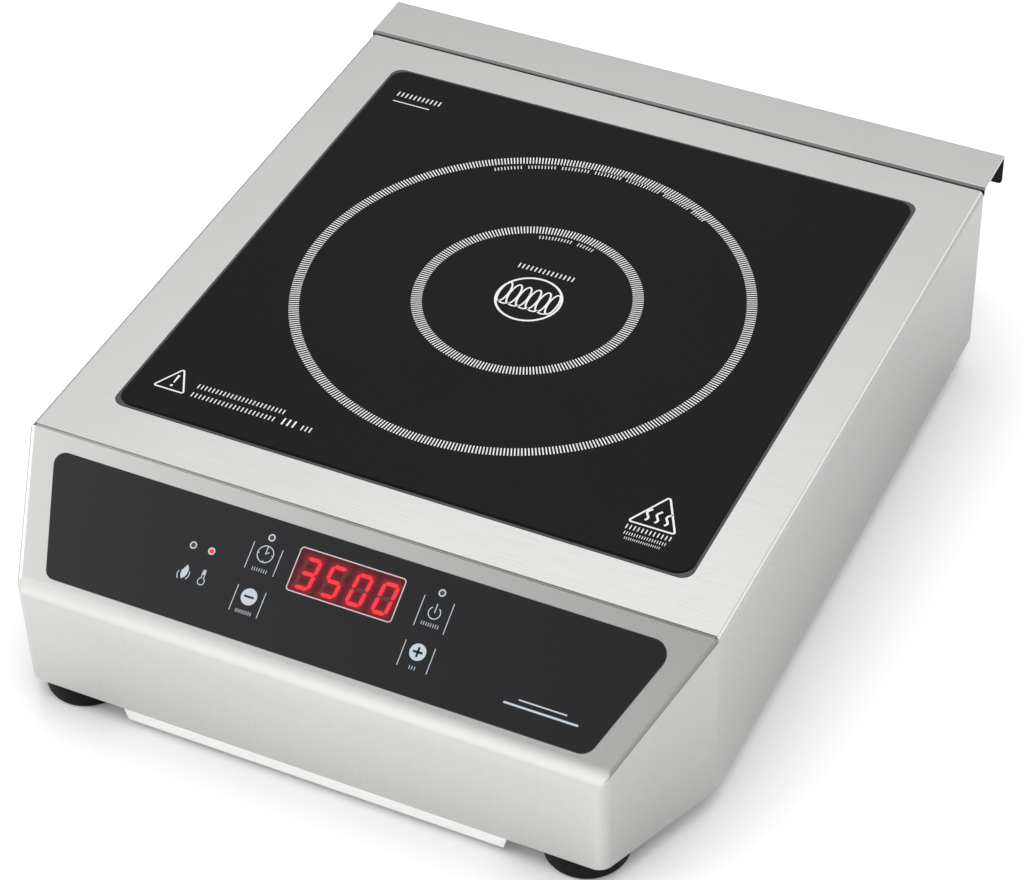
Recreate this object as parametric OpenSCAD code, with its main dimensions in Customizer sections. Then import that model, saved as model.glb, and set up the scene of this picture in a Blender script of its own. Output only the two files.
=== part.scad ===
// Countertop induction hob with one cooking zone.
// The origin is on the table, under the centre of the cooking zone.
// +X points to the right, +Y to the rear and +Z up.

/* [Body] */
// Width of the housing
body_w = 330; // [324:1:340]
// Depth of the top plate, from the front bend to the rear edge
top_d = 328; // [324:1:336]
// Height of the housing, from its lower edge to the top face
housing_h = 92; // [90:1:100]
// Thickness of the steel sheet
sheet_t = 1; // [0.8:0.1:1.2]
// Outside radius of the two long bends of the top plate
bend_r = 2.5; // [1.5:0.5:3]
// Width of the flanges that turn inwards along the lower and rear edges
flange_w = 12; // [10:1:13]

/* [Console] */
// Depth of the console in front of the top plate
console_d = 62; // [58:1:66]
// Height of the console's upright front
console_front_h = 53.6; // [50:0.2:58]
// How far each side turns in at the front
console_inset = 25.5; // [22:0.5:28]
// Radius of the console's upright front corners
console_corner_r = 7; // [5:0.5:9]
// Radius of the bend between the slope and the front
console_bend_r = 9; // [6:1:11]
// Width of the seam between the top plate and the console
seam_w = 0.8; // [0.5:0.1:1]

/* [Glass] */
// Side of the square opening for the glass
opening_w = 280; // [278:1:282]
// Distance from the front bend to the opening
front_margin = 26; // [25:1:28]
// Thickness of the glass
glass_t = 4; // [4:0.5:5]
// How far the glass stands above the top plate
glass_proud = 1; // [0.5:0.1:1.5]
// Width of the seal seen round the glass
seal_w = 1.5; // [1:0.1:2]
// Corner radius of the glass
glass_r = 8; // [6:1:10]

/* [Coil] */
// Diameter of the coil's stranded wire
wire_d = 3.2; // [2.8:0.1:3.4]
// Number of turns of the coil
coil_turns = 20; // [16:1:20]
// Radius of the coil's innermost turn
coil_r = 28; // [26:1:30]

/* [Controls] */
// Size of a printed key, along the console and up the slope
key_size = [13.4, 13.4]; // [12:0.2:14]
// Travel of a key
key_travel = 0.4; // [0.3:0.05:0.4]
// Thickness of the control overlay
overlay_t = 0.5; // [0.4:0.1:0.8]

/* [Fans] */
// Side of the square fan frames
fan_w = 80; // [78:1:80]
// Distance from the centre plane to each fan's axis
fan_x = 44; // [42:1:46]
// Number of blades on each fan
fan_blades = 7; // [5:1:9]

/* [Feet] */
// Height of the rubber feet
foot_h = 11; // [10:0.5:14]
// Radius of a foot where it meets the base
foot_r = 20; // [17:0.5:20]
// Distance from the centre plane to each foot's axis
foot_x = 123; // [120:1:126]

/* [Deflector] */
// Depth of the deflector strip
deflector_d = 31; // [26:1:34]
// Gap between the top plate's rear edge and the strip
deflector_gap = 1; // [0.6:0.2:2]
// Height of the strip above the top plate
deflector_rise = 1; // [0.6:0.2:3]
// Depth of the lip that hangs from the rear of the strip
deflector_lip = 17.5; // [12:0.5:20]

/* [Power cord] */
// Diameter of the power cord
cord_d = 9; // [8:0.5:10]
// Distance from the centre plane to the cord outlet, on the left
cord_x = 122; // [118:1:126]

/* [Hidden] */
$fn = 48;

// Small allowance so that cutting shapes pass right through
eps = 0.01;
// Flats that stand in for a bend's arc
arc_steps = 12;

z_base = foot_h;
z_low = foot_h + sheet_t;
z_top = z_low + housing_h;
z_roof = z_top - sheet_t;
z_crease = z_low + console_front_h;
x_side = body_w / 2;
x_front = x_side - console_inset;
y_bend = -(opening_w / 2 + front_margin);
y_front = y_bend - console_d;
y_back = y_bend + top_d;
y_corner = y_front + console_corner_r + 1;
tuck_x = 150;
z_tuck = z_roof - 0.2;
slope = atan2(z_top - z_crease, console_d);

// Glass, seal and coil, from the top down
z_glass = z_top + glass_proud - glass_t;
z_ledge = z_glass - 1;
frame_w = opening_w + 6;
ledge_w = opening_w - 18;
glass_w = opening_w - 2 * seal_w;
mica_t = 0.8;
z_mica = z_glass - 1.2;
z_former = z_mica - 0.3 - wire_d;
former_t = 4.5;
former_r = 108;
coil_pitch = (former_r - 4 - coil_r) / coil_turns;
ferrite_t = 4.8;
bracket_t = 1.5;
z_bracket = z_former - former_t - ferrite_t - bracket_t;
spokes = 8;
window = [48, 18];
window_r = 48;
pillar = [112, 70];
sensor_r = 10;

// Controls, as [distance right of the centre plane, distance down the slope]
overlay_top = [149, 8];
overlay_low = [129, 63.2];
lens_at = [2.75, 25.9];
lens_size = [49.5, 19.2];
timer_at = [-36.8, 26.2];
down_at = [-36.5, 45.9];
on_off_at = [44.6, 26.6];
up_at = [44, 46];
keys_at = [timer_at, down_at, on_off_at, up_at];
leds_at = [[-69.6, 29.9], [-60.6, 30], [-36.8, 16.5], [44.7, 16.9]];
led_r = 1.65;
board_x = [-84, 62];
board_s = [10, 58];
board_drop = 10;
board_t = 1.6;
spacers_at = [for (x = [board_x[0] + 5, board_x[1] - 5], s = [board_s[0] + 5, board_s[1] - 5]) [x, s]];
switch_top = 6.5;
stem_r = 2.5;
plunger_r = 1.7;
fit = 0.08;
digit_pitch = 12;
digit_h = 13.4;
digit_w = 8;
segment_w = 1.7;
digit_lean = 8;

// Fans and the air intake
fan_y = -100;
fan_h = 25;
fan_bore = fan_w / 2 - 2;
fan_hub = 17;
fan_hole = fan_w / 2 - 4.25;
shaft_r = 1.5;
intake_rings = [12, 20, 28, 36];

// Main board and what stands on it
z_board = z_low + 8;
z_parts = z_board + board_t;
main_x = 105;
main_y = [-42, 118];
sink_x = 72;
sink_y = [-30, 18];
sink_base = 4;
sink_fins = 19;
z_sink = z_parts + 10;
z_fins = z_sink + 30;
lead_angle = 157.5;
lead_radii = [62, 92];
lead_r = 2.2;

// Feet, fixings and the filter tray
feet_at = [for (x = [-foot_x, foot_x], y = [-208, 138]) [x, y]];
screw_r = 2;
base_screws_at = concat(
    [for (x = [-1, 1], y = [-130, 0, 120]) [x * (x_side - sheet_t - 6.5), y]],
    [for (x = [-70, 70]) [x, y_front + 7.5]]);
rear_screws_at = [for (x = [-1, 1], z = [24, 58, 92]) [x * (x_side - sheet_t - 6), z]];
tabs_x = [-120, 0, 120];
tab_z = z_roof - 12;
tray_w = 176;
tray_front_w = 188;
tray_y = [y_front + 2, -52];
tray_z = 4;
tray_flange_z = 8;
cord_z = 34;
hank_radii = [12, 21.2];
hank_half = 70.8;
tie_reach = cord_d / 2 + 1;
hank_at = [-30, -y_front - hank_radii[1] - tie_reach];
hank_low = 1;
hank_top = hank_low + 2 * cord_d + 0.2;
plug_x = 78;
plug_z = 19;

// ---------- outlines ----------

function unit(v) = v / norm(v);

// Item i of a closed list
function at(list, i) = list[(i + len(list)) % len(list)];

// Arc that rounds the corner b between a and c
function corner(a, b, c, r) =
    let (u = unit(a - b), v = unit(c - b), half = acos(u * v) / 2)
    let (o = b + unit(u + v) * r / sin(half))
    let (p = b + u * r / tan(half) - o, q = b + v * r / tan(half) - o)
    [for (i = [0:arc_steps]) o + unit(p + (q - p) * i / arc_steps) * r];

// Outline with each corner rounded by its own radius
function rounded(pts, radii) = [
    for (i = [0:len(pts) - 1])
        each radii[i] > 0 ? corner(at(pts, i - 1), pts[i], at(pts, i + 1), radii[i]) : [pts[i]]
];

// Convex outline moved inwards by d
function inset(pts, d) = [
    for (i = [0:len(pts) - 1])
        let (u = unit(at(pts, i - 1) - pts[i]), v = unit(at(pts, i + 1) - pts[i]))
        pts[i] + unit(u + v) * d / sin(acos(u * v) / 2)
];

// Housing seen from above, with its rear edge moved back by extra
function plan(d, extra = 0) =
    let (r = max(0, console_corner_r - d))
    rounded(inset([
        [-x_side, y_back + extra], [x_side, y_back + extra], [x_side, y_bend],
        [x_front, y_front], [-x_front, y_front], [-x_side, y_bend]
    ], d), [0, 0, 0, r, r, 0]);

// Housing seen from the right, as [Y, Z]
function side(d, extra) =
    rounded(inset([
        [y_front, z_low - extra], [y_back + extra, z_low - extra], [y_back + extra, z_top],
        [y_bend, z_top], [y_front, z_crease]
    ], d), [0, 0, 0, 0, console_bend_r - d]);

// Housing seen from the front, as [X, Z]
function front(d, extra) =
    rounded(inset([
        [-x_side, z_low - extra], [x_side, z_low - extra], [x_side, z_top], [-x_side, z_top]
    ], d), [0, 0, bend_r - d, bend_r - d]);

module rounded_square(w, h, r) {
    square([w - 2 * r, h], center = true);
    square([w, h - 2 * r], center = true);
    for (x = [-1, 1], y = [-1, 1])
        translate([x * (w / 2 - r), y * (h / 2 - r)]) circle(r);
}

module square_ring(outer, outer_r, inner, inner_r) {
    difference() {
        rounded_square(outer, outer, outer_r);
        rounded_square(inner, inner, inner_r);
    }
}

// Extrudes a [Y, Z] outline along X, half to each side of x
module along_x(w, x = 0) {
    translate([x, 0, 0]) rotate([90, 0, 90]) linear_extrude(w, center = true) children();
}

// Extrudes an [X, Z] outline from y0 to y1
module along_y(y0, y1) {
    translate([0, y1, 0]) rotate([90, 0, 0]) linear_extrude(y1 - y0) children();
}

// Box from its low corner to its high corner
module span(low, high) {
    translate(low) cube(high - low);
}

// Frame on the console's slope: X to the right, Y up the slope, Z out of the steel
module on_slope(p = [0, 0], z = 0) {
    translate([0, y_bend, z_top]) rotate([slope, 0, 0]) translate([p[0], -p[1], z]) children();
}

// Round-headed screw standing on z = 0 with its shank pointing up
module screw(head_r, head_h, shank_r, shank_l) {
    translate([0, 0, -head_h]) cylinder(h = head_h, r = head_r);
    cylinder(h = shank_l, r = shank_r);
}

// ---------- housing ----------

module body_form(d, extra) {
    intersection() {
        translate([0, 0, z_low - extra]) linear_extrude(housing_h + extra + 1) polygon(plan(d, extra));
        along_x(body_w + 2) polygon(side(d, extra));
        along_y(y_front - 1, y_back + extra) polygon(front(d, extra));
    }
}

module body_shell() {
    difference() {
        body_form(0, 0);
        body_form(sheet_t, 10);
    }
}

// Everything in front of the bend and above the underside of the slope's sheet, with a little to spare
module slope_zone(gap, spare) {
    drop = (sheet_t + spare) / cos(slope);
    along_x(body_w + 2) polygon([
        [y_bend - gap, z_top - gap * tan(slope) - drop], [y_bend - gap, z_top + 5],
        [y_front - 5, z_top + 5], [y_front - 5, z_crease - drop - 5 * tan(slope)]
    ]);
}

module front_zone(spare = 0) {
    span([-body_w, y_front - 5, 0], [body_w, y_corner + spare, z_top]);
}

module bottom_flange() {
    translate([0, 0, z_low]) linear_extrude(sheet_t) difference() {
        polygon(plan(sheet_t - eps));
        polygon(plan(sheet_t + flange_w, -30));
        translate([-body_w, y_back - 30]) square([2 * body_w, 60]);
    }
}

module corner_relief() {
    for (x = [-1, 1])
        translate([x * (x_side - 1.3), y_bend - seam_w / 2, z_top - 3]) cylinder(h = 4, r = 1.2);
}

module rear_flange() {
    half = x_side - sheet_t;
    along_y(y_back - 2 * sheet_t, y_back - sheet_t) difference() {
        translate([-half - eps, z_low]) square([2 * half + 2 * eps, housing_h - sheet_t + eps]);
        translate([-half + flange_w, 0]) square([2 * (half - flange_w), z_roof - 10]);
    }
}

module housing() {
    color("#d8d8d6") difference() {
        union() {
            difference() {
                union() {
                    body_shell();
                    bottom_flange();
                }
                slope_zone(0, 2 * fit);
                front_zone(fit);
            }
            rear_flange();
        }
        translate([0, 0, z_top - 5]) linear_extrude(10) rounded_square(opening_w, opening_w, 6);
        corner_relief();
        for (p = base_screws_at) translate([p[0], p[1], z_low - 1]) cylinder(h = 3, r = screw_r);
        for (p = rear_screws_at)
            translate([p[0], y_back, p[1]]) rotate([90, 0, 0]) cylinder(h = 4, r = screw_r);
    }
}

module console_panel() {
    color("#c4c6c6") difference() {
        union() {
            intersection() {
                body_shell();
                union() {
                    slope_zone(seam_w, fit);
                    front_zone();
                }
            }
            intersection() {
                bottom_flange();
                front_zone();
            }
            // Flange that tucks under the top plate
            span([-tuck_x, y_bend - 2.4, z_tuck - sheet_t], [tuck_x, y_bend + 10, z_tuck]);
        }
        corner_relief();
        on_slope([0, 0], 0) {
            for (p = keys_at) translate([p[0], -p[1], -2]) linear_extrude(3)
                rounded_square(key_size[0] + 1, key_size[1] + 1, 2);
            for (p = leds_at) translate([p[0], -p[1], -2]) cylinder(h = 3, r = 2);
            translate([lens_at[0], -lens_at[1], -2]) linear_extrude(3)
                rounded_square(lens_size[0] + 2.5, lens_size[1] + 1.5, 1);
        }
        for (p = base_screws_at) translate([p[0], p[1], z_low - 1]) cylinder(h = 3, r = screw_r);
    }
}

module exhaust_slots() {
    slot = [4, 24];
    pitch = 10;
    for (i = [-12:12], z = [z_roof - 44, z_roof - 17])
        if (min([for (x = tabs_x) abs(i * pitch - x)]) > 17 || z < z_roof - 30)
            translate([i * pitch, z]) rounded_square(slot[0], slot[1], slot[0] / 2 - eps);
}

module rear_panel() {
    color("#c8c8c6") difference() {
        along_y(y_back - sheet_t + eps, y_back) difference() {
            polygon(front(sheet_t + 0.2, 1));
            exhaust_slots();
            translate([-cord_x, cord_z]) circle(8);
            for (p = rear_screws_at) translate(p) circle(screw_r + 0.2);
            for (x = tabs_x) translate([x, tab_z]) circle(screw_r);
        }
    }
}

// The strip's front edge rolls over the top plate's rear edge; three tabs hold it to the rear panel
module rear_deflector() {
    y0 = y_back + deflector_gap;
    y1 = y0 + deflector_d - sheet_t;
    z1 = z_top + deflector_rise;
    t = sheet_t;
    color("#cfcfcd") difference() {
        union() {
            along_x(body_w) difference() {
                polygon(rounded([
                    [y0, z1 - 4], [y0, z1], [y1, z1], [y1, z1 - deflector_lip]
                ], [0, 2, 1.6, 0]));
                polygon(rounded([
                    [y0 + t, z1 - 5], [y0 + t, z1 - t], [y1 - t, z1 - t], [y1 - t, z1 - deflector_lip - 9]
                ], [0, 1, 0.6, 0]));
            }
            for (x = tabs_x) {
                span([x - 14, y0, tab_z - 8], [x + 14, y0 + t, z1 - 3]);
                translate([x, y_back, tab_z]) rotate([-90, 0, 0]) cylinder(h = deflector_gap + eps, r = 6);
            }
        }
        for (x = tabs_x)
            translate([x, y_back - 1, tab_z]) rotate([-90, 0, 0]) cylinder(h = 6, r = screw_r + 0.2);
        // Rounded lower corners of the lip
        for (x = [-1, 1]) translate([x * x_side, 0, z1 - deflector_lip]) mirror([x > 0 ? 1 : 0, 0, 0])
            along_y(y1 - 3, y1 + 1) difference() {
                translate([-1, -1]) square([4, 4]);
                translate([3, 3]) circle(3);
            }
    }
}

module intake_grille() {
    for (r = intake_rings) difference() {
        circle(r + 2);
        circle(r - 2);
    }
}

module base_plate() {
    color("#cdcdcb") difference() {
        translate([0, 0, z_base]) linear_extrude(sheet_t) polygon(plan(1.4));
        for (x = [-fan_x, fan_x]) translate([x, fan_y, z_base - 1]) linear_extrude(3) difference() {
            intake_grille();
            for (a = [45, 135]) rotate(a) square([fan_w + 20, 4], center = true);
        }
        for (p = feet_at) translate([p[0], p[1], z_base - 1]) cylinder(h = 3, r = screw_r + 0.2);
        for (p = base_screws_at) translate([p[0], p[1], z_base - 1]) cylinder(h = 3, r = screw_r + 0.2);
        fan_holes(z_base - 1, 3, 1.8);
    }
}

// ---------- glass ----------

module glass_plate() {
    color("#1c1c1c") translate([0, 0, z_glass]) linear_extrude(glass_t)
        rounded_square(glass_w, glass_w, glass_r);
}

module glass_seal() {
    color("#484848") {
        difference() {
            union() {
                translate([0, 0, z_ledge]) linear_extrude(z_roof - z_ledge)
                    rounded_square(frame_w - 2 * sheet_t - 0.2, frame_w - 2 * sheet_t - 0.2, 7);
                translate([0, 0, z_roof - 1]) linear_extrude(sheet_t + 1)
                    rounded_square(opening_w - 0.1, opening_w - 0.1, 6);
            }
            translate([0, 0, z_glass]) linear_extrude(glass_t + 1) rounded_square(glass_w, glass_w, glass_r);
            translate([0, 0, z_ledge - 1]) linear_extrude(3) rounded_square(ledge_w, ledge_w, 4);
        }
    }
}

module glass_frame() {
    color("#b8b8b6") {
        translate([0, 0, z_ledge - sheet_t]) linear_extrude(sheet_t) square_ring(frame_w, 8, ledge_w, 4);
        translate([0, 0, z_ledge]) linear_extrude(z_roof - z_ledge)
            square_ring(frame_w, 8, frame_w - 2 * sheet_t, 7);
    }
}

// ---------- controls ----------

module overlay_outline(d) {
    polygon(rounded(inset([
        [-overlay_top[0], -overlay_top[1]], [overlay_top[0], -overlay_top[1]],
        [overlay_low[0], -overlay_low[1]], [-overlay_low[0], -overlay_low[1]]
    ], d), [5, 7, 7, 5]));
}

module control_overlay() {
    color("#2e2e31") on_slope(z = eps) linear_extrude(overlay_t - eps) difference() {
        overlay_outline(0);
        translate([lens_at[0], -lens_at[1]]) rounded_square(lens_size[0] + fit, lens_size[1] + fit, 0.8);
        for (p = keys_at) translate([p[0], -p[1]])
            rounded_square(key_size[0] + 2 * fit, key_size[1] + 2 * fit, 1.5);
        for (p = leds_at) translate([p[0], -p[1]]) circle(led_r);
    }
}

module display_lens() {
    color("#5a1216") on_slope(lens_at) linear_extrude(overlay_t)
        rounded_square(lens_size[0], lens_size[1], 0.8);
}

module indicator_lenses() {
    color("#d6dade") for (p = leds_at) on_slope(p) cylinder(h = overlay_t, r = led_r - 0.05);
}

// A key is the printed patch of film and the stem that presses its switch
module key(p) {
    color("#303034") on_slope(p) {
        linear_extrude(overlay_t) rounded_square(key_size[0], key_size[1], 1.5);
        translate([0, 0, -switch_top + key_travel + 0.1]) cylinder(h = switch_top - key_travel, r = stem_r);
        translate([0, 0, -switch_top - 1]) cylinder(h = switch_top, r = plunger_r);
    }
}

module key_timer() { key(timer_at); }
module key_down() { key(down_at); }
module key_on_off() { key(on_off_at); }
module key_up() { key(up_at); }

module control_board() {
    color("#2f6b45") on_slope([0, 0], -board_drop - board_t)
        difference() {
            translate([board_x[0], -board_s[1], 0])
                cube([board_x[1] - board_x[0], board_s[1] - board_s[0], board_t]);
            for (p = spacers_at) translate([p[0], -p[1], -1]) cylinder(h = 4, r = 1.6);
        }
}

module control_spacers() {
    color("#e0e0da") for (p = spacers_at) on_slope(p, -board_drop) {
        cylinder(h = board_drop - sheet_t, r = 3);
        translate([0, 0, -board_t - 2]) cylinder(h = board_t + 2 + eps, r = 1.5);
    }
}

module tact_switches() {
    color("#1e1e20") for (p = keys_at) on_slope(p, -board_drop) difference() {
        translate([-3.1, -3.1, 0]) cube([6.2, 6.2, board_drop - switch_top]);
        translate([0, 0, 1]) cylinder(h = 5, r = plunger_r + fit);
    }
}

module display_module() {
    color("#1a1a1c") on_slope(lens_at, -board_drop)
        translate([-25.1, -9.6, 0]) cube([50.2, 19.2, board_drop - 0.8]);
}

// Six-sided bar of one display segment, along X or along Y
function bar(l, w, upright) =
    let (p = [[-l / 2, 0], [-l / 2 + w / 2, w / 2], [l / 2 - w / 2, w / 2],
              [l / 2, 0], [l / 2 - w / 2, -w / 2], [-l / 2 + w / 2, -w / 2]])
    [for (q = p) upright ? [q[1], q[0]] : q];

// Outline c moved to p and leaned to the right
function leaned(c, p) = [for (q = c) let (v = q + p) [v[0] + v[1] * tan(digit_lean), v[1]]];

module digit() {
    w = segment_w;
    dx = digit_w / 2 - w / 2;
    dy = digit_h / 2 - w / 2;
    for (y = [-dy, 0, dy]) polygon(leaned(bar(2 * dx - 0.3, w, false), [0, y]));
    for (x = [-dx, dx], y = [-dy / 2, dy / 2]) polygon(leaned(bar(dy - 0.3, w, true), [x, y]));
    translate([digit_w / 2 + 0.7, -dy]) circle(0.8);
}

module display_segments() {
    color("#ff3030") on_slope(lens_at, -0.8)
        for (i = [0:3]) translate([(i - 1.5) * digit_pitch - 0.5, 0, 0]) linear_extrude(0.2) digit();
}

module indicator_leds() {
    color("#f0f0f0") for (p = leds_at) on_slope(p, -board_drop) {
        cylinder(h = board_drop - 2.8, r = 1.5);
        translate([0, 0, board_drop - 2.8]) sphere(1.5);
        cylinder(h = 1, r = 1.9);
    }
}

module buzzer() {
    color("#161616") on_slope([-70, 46], -board_drop - board_t - 7) difference() {
        cylinder(h = 7, r = 6);
        translate([0, 0, -1]) cylinder(h = 2, r = 1);
    }
}

// Flat cable from the control board over the fans to the main board
module ribbon_cable() {
    x = 14;
    w = 18;
    t = 0.8;
    path = [[y_bend - 8, z_top - 24], [y_bend - 2, 48], [y_bend + 6, 42], [-56, 42],
            [-44, 38], [main_y[0] + 5, z_parts + 7]];
    color("#b9b9b4") {
        along_x(w, x) for (i = [1:len(path) - 1]) {
            a = path[i - 1];
            b = path[i];
            translate(a) rotate(atan2(b[1] - a[1], b[0] - a[0]))
                translate([0, -t / 2]) square([norm(b - a), t]);
            translate(b) circle(t / 2);
        }
        span([x - 11, main_y[0] + 2, z_parts], [x + 11, main_y[0] + 8, z_parts + 7]);
    }
}

// ---------- coil ----------

// One plane spiral made of half turns about two centres
module coil_winding() {
    step = coil_pitch / 2;
    color("#b87333") translate([0, 0, z_former + wire_d / 2])
        for (i = [0:2 * coil_turns - 1])
            translate([i % 2 == 0 ? 0 : step, 0, 0]) rotate([0, 0, i % 2 == 0 ? 0 : 180])
                rotate_extrude(angle = 180) translate([coil_r + i * step, 0]) circle(wire_d / 2, $fn = 24);
}

module windows() {
    for (i = [0:spokes - 1]) rotate((i + 0.5) * 360 / spokes)
        translate([window_r, -window[1] / 2]) square(window);
}

module coil_former() {
    color("#3a3a38") translate([0, 0, z_former - former_t]) linear_extrude(former_t) difference() {
        circle(former_r);
        circle(sensor_r);
        windows();
    }
}

module ferrite_bars() {
    color("#242426") for (i = [0:spokes - 1]) rotate([0, 0, i * 360 / spokes])
        translate([42, -5.5, z_former - former_t - ferrite_t]) cube([54, 11, ferrite_t - fit]);
}

module mica_sheet() {
    color("#c9b98a") translate([0, 0, z_mica]) linear_extrude(mica_t) difference() {
        circle(former_r + 4);
        circle(sensor_r + 0.8);
    }
}

module bracket_arms() {
    for (s = [-1, 1]) rotate(s * atan2(pillar[1], pillar[0]))
        square([2 * norm(pillar) + 14, 16], center = true);
}

module coil_bracket() {
    color("#c6c8ca") translate([0, 0, z_bracket]) linear_extrude(bracket_t) difference() {
        union() {
            circle(100);
            bracket_arms();
        }
        difference() {
            windows();
            bracket_arms();
        }
        circle(16);
        for (x = [-1, 1], y = [-1, 1]) translate([x * pillar[0], y * pillar[1]]) circle(1.8);
    }
}

module at_pillars() {
    for (x = [-1, 1], y = [-1, 1]) translate([x * pillar[0], y * pillar[1], 0]) children();
}

module coil_pillars() {
    color("#c9b45a") at_pillars() difference() {
        translate([0, 0, z_low]) cylinder(h = z_bracket - z_low, r = 4.6, $fn = 6);
        translate([0, 0, z_bracket - 10]) cylinder(h = 11, r = 1.6);
    }
}

module coil_screws() {
    color("#c8c8c8") at_pillars() translate([0, 0, z_bracket + bracket_t]) mirror([0, 0, 1])
        screw(3.5, 2.2, 1.5, 9);
}

module sensor_holder() {
    low = z_former - former_t;
    color("#d9d4c8") difference() {
        union() {
            translate([0, 0, low - 6]) cylinder(h = z_glass - 0.2 - low + 6, r = sensor_r);
            translate([0, 0, low - 2]) cylinder(h = 2, r = sensor_r + 3);
        }
        translate([0, 0, low - 7]) cylinder(h = 30, r = 2.6);
    }
}

module temperature_sensor() {
    color("#8a8f94") {
        translate([0, 0, z_glass - 8]) cylinder(h = 8, r = 2.5);
        for (x = [-1, 1]) translate([x * 1.1, 0, z_bracket - 12])
            cylinder(h = z_glass - 7 - z_bracket + 12, r = 0.6);
    }
}

module coil_leads() {
    color("#e4e0d4") for (r = lead_radii) rotate([0, 0, lead_angle]) translate([r, 0, 0]) {
        translate([0, 0, z_parts + 6]) cylinder(h = z_former - z_parts - 6, r = lead_r);
        translate([0, 0, z_parts]) cylinder(h = 6, r = 4.5);
    }
}

// ---------- main board ----------

module standoffs_at() {
    for (x = [-1, 1], y = [main_y[0] + 6, (main_y[0] + main_y[1]) / 2, main_y[1] - 6])
        translate([x * (main_x - 6), y, 0]) children();
}

module main_board() {
    color("#2f6b45") difference() {
        span([-main_x, main_y[0], z_board], [main_x, main_y[1], z_parts]);
        standoffs_at() translate([0, 0, z_board - 1]) cylinder(h = 4, r = 1.7);
    }
}

module board_standoffs() {
    color("#e6e6e0") standoffs_at() {
        translate([0, 0, z_low]) cylinder(h = z_board - z_low, r = 3.5);
        translate([0, 0, z_board - 1]) cylinder(h = board_t + 3, r = 1.6);
        translate([0, 0, z_parts]) cylinder(h = 2, r = 2.6);
    }
}

module heat_sink() {
    fin_t = 1.6;
    pitch = (2 * sink_x - fin_t) / (sink_fins - 1);
    color("#b9bcc0") along_y(sink_y[0], sink_y[1]) {
        translate([-sink_x, z_sink]) square([2 * sink_x, sink_base]);
        for (i = [0:sink_fins - 1]) translate([-sink_x + i * pitch, z_sink]) square([fin_t, z_fins - z_sink]);
        for (x = [-sink_x, sink_x - fin_t]) translate([x, z_parts]) square([fin_t, z_sink - z_parts + eps]);
    }
}

// Flat package pressed against the underside of the heat sink, with three pins to the board
module power_device(x, y, w, d, t, pin_gap) {
    span([x - w / 2, y - d / 2, z_sink - t], [x + w / 2, y + d / 2, z_sink]);
    for (i = [-1:1]) span(
        [x + i * pin_gap - 0.6, y - d / 2 + 1, z_parts],
        [x + i * pin_gap + 0.6, y - d / 2 + 1.8, z_sink - t + eps]);
}

module power_transistors() {
    color("#1c1c1e") for (x = [-46, -20]) power_device(x, -6, 16, 21, 5, 5.4);
}

module bridge_rectifier() {
    color("#2a2a2c") power_device(34, -6, 30, 20, 5, 8);
}

module film_capacitors() {
    size = [32, 18, 37];
    color("#c23a2e") for (x = [-42, -4, 34]) translate([x - size[0] / 2, 44, z_parts]) cube(size);
}

module filter_choke() {
    color("#a8642c") translate([78, 56, z_parts + 8]) {
        rotate_extrude() translate([13, 0]) circle(7);
        translate([0, 0, -8]) cylinder(h = 1.5, r = 20);
    }
}

module fuse() {
    color("#dadad2") translate([-10, 84, z_parts]) {
        span([-18, -4, 0], [-12, 4, 9]);
        span([12, -4, 0], [18, 4, 9]);
        translate([-16, 0, 6]) rotate([0, 90, 0]) cylinder(h = 32, r = 2.6);
    }
}

module terminal_block() {
    color("#e2e2dc") difference() {
        span([-98, 84, z_parts], [-64, 100, z_parts + 18]);
        for (x = [-92, -81, -70]) {
            translate([x, 92, z_parts + 10]) cylinder(h = 10, r = 2.6);
            translate([x, 90, z_parts + 7]) rotate([-90, 0, 0]) cylinder(h = 12, r = 2.2);
        }
    }
}

// Earth wire from the terminal block to a stud on the base plate
module earth_lead() {
    x = -140;
    y = 105;
    wire_r = 1.5;
    color("#9bbf2f") {
        translate([x, 70, z_low]) cylinder(h = 10, r = 2);
        translate([x, 70, z_low + 3]) cylinder(h = 1, r = 5);
        translate([x, 70, z_low + 4]) cylinder(h = 3.2, r = 4, $fn = 6);
        translate([x, 74, z_low + 3.5]) rotate([-90, 0, 0]) cylinder(h = y - 74, r = wire_r);
        translate([x, y, z_low + 3.5]) sphere(wire_r);
        translate([x, y, z_low + 3.5]) cylinder(h = 16, r = wire_r);
        translate([x, y, z_low + 19.5]) sphere(wire_r);
        translate([x, y, z_low + 19.5]) rotate([0, 90, 0]) cylinder(h = -92 - x, r = wire_r);
        translate([-92, y, z_low + 19.5]) sphere(wire_r);
        translate([-92, 100, z_low + 19.5]) rotate([-90, 0, 0]) cylinder(h = y - 100, r = wire_r);
    }
}

// ---------- fans ----------

module fan_holes(z, h, r) {
    for (fx = [-fan_x, fan_x], x = [-fan_hole, fan_hole], y = [-fan_hole, fan_hole])
        translate([fx + x, fan_y + y, z]) cylinder(h = h, r = r);
}

module fan_frame(x) {
    plate = 4;
    translate([x, fan_y, z_low]) {
        for (z = [0, fan_h - plate]) translate([0, 0, z]) linear_extrude(plate) difference() {
            rounded_square(fan_w, fan_w, 5);
            circle(fan_bore);
        }
        linear_extrude(fan_h) difference() {
            circle(fan_bore + 1.6);
            circle(fan_bore);
        }
        linear_extrude(2.5) intersection() {
            circle(fan_bore + 1);
            for (a = [45, 135]) rotate(a) square([fan_w + 10, 5], center = true);
        }
        cylinder(h = 2.5, r = fan_hub);
        cylinder(h = 12, r = 5);
    }
}

module fan_frames() {
    color("#1b1b1d") difference() {
        for (x = [-fan_x, fan_x]) fan_frame(x);
        fan_holes(z_low - 1, fan_h + 2, 1.6);
        for (x = [-fan_x, fan_x]) translate([x, fan_y, z_low + 1]) cylinder(h = 20, r = shaft_r + 0.05);
    }
}

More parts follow.
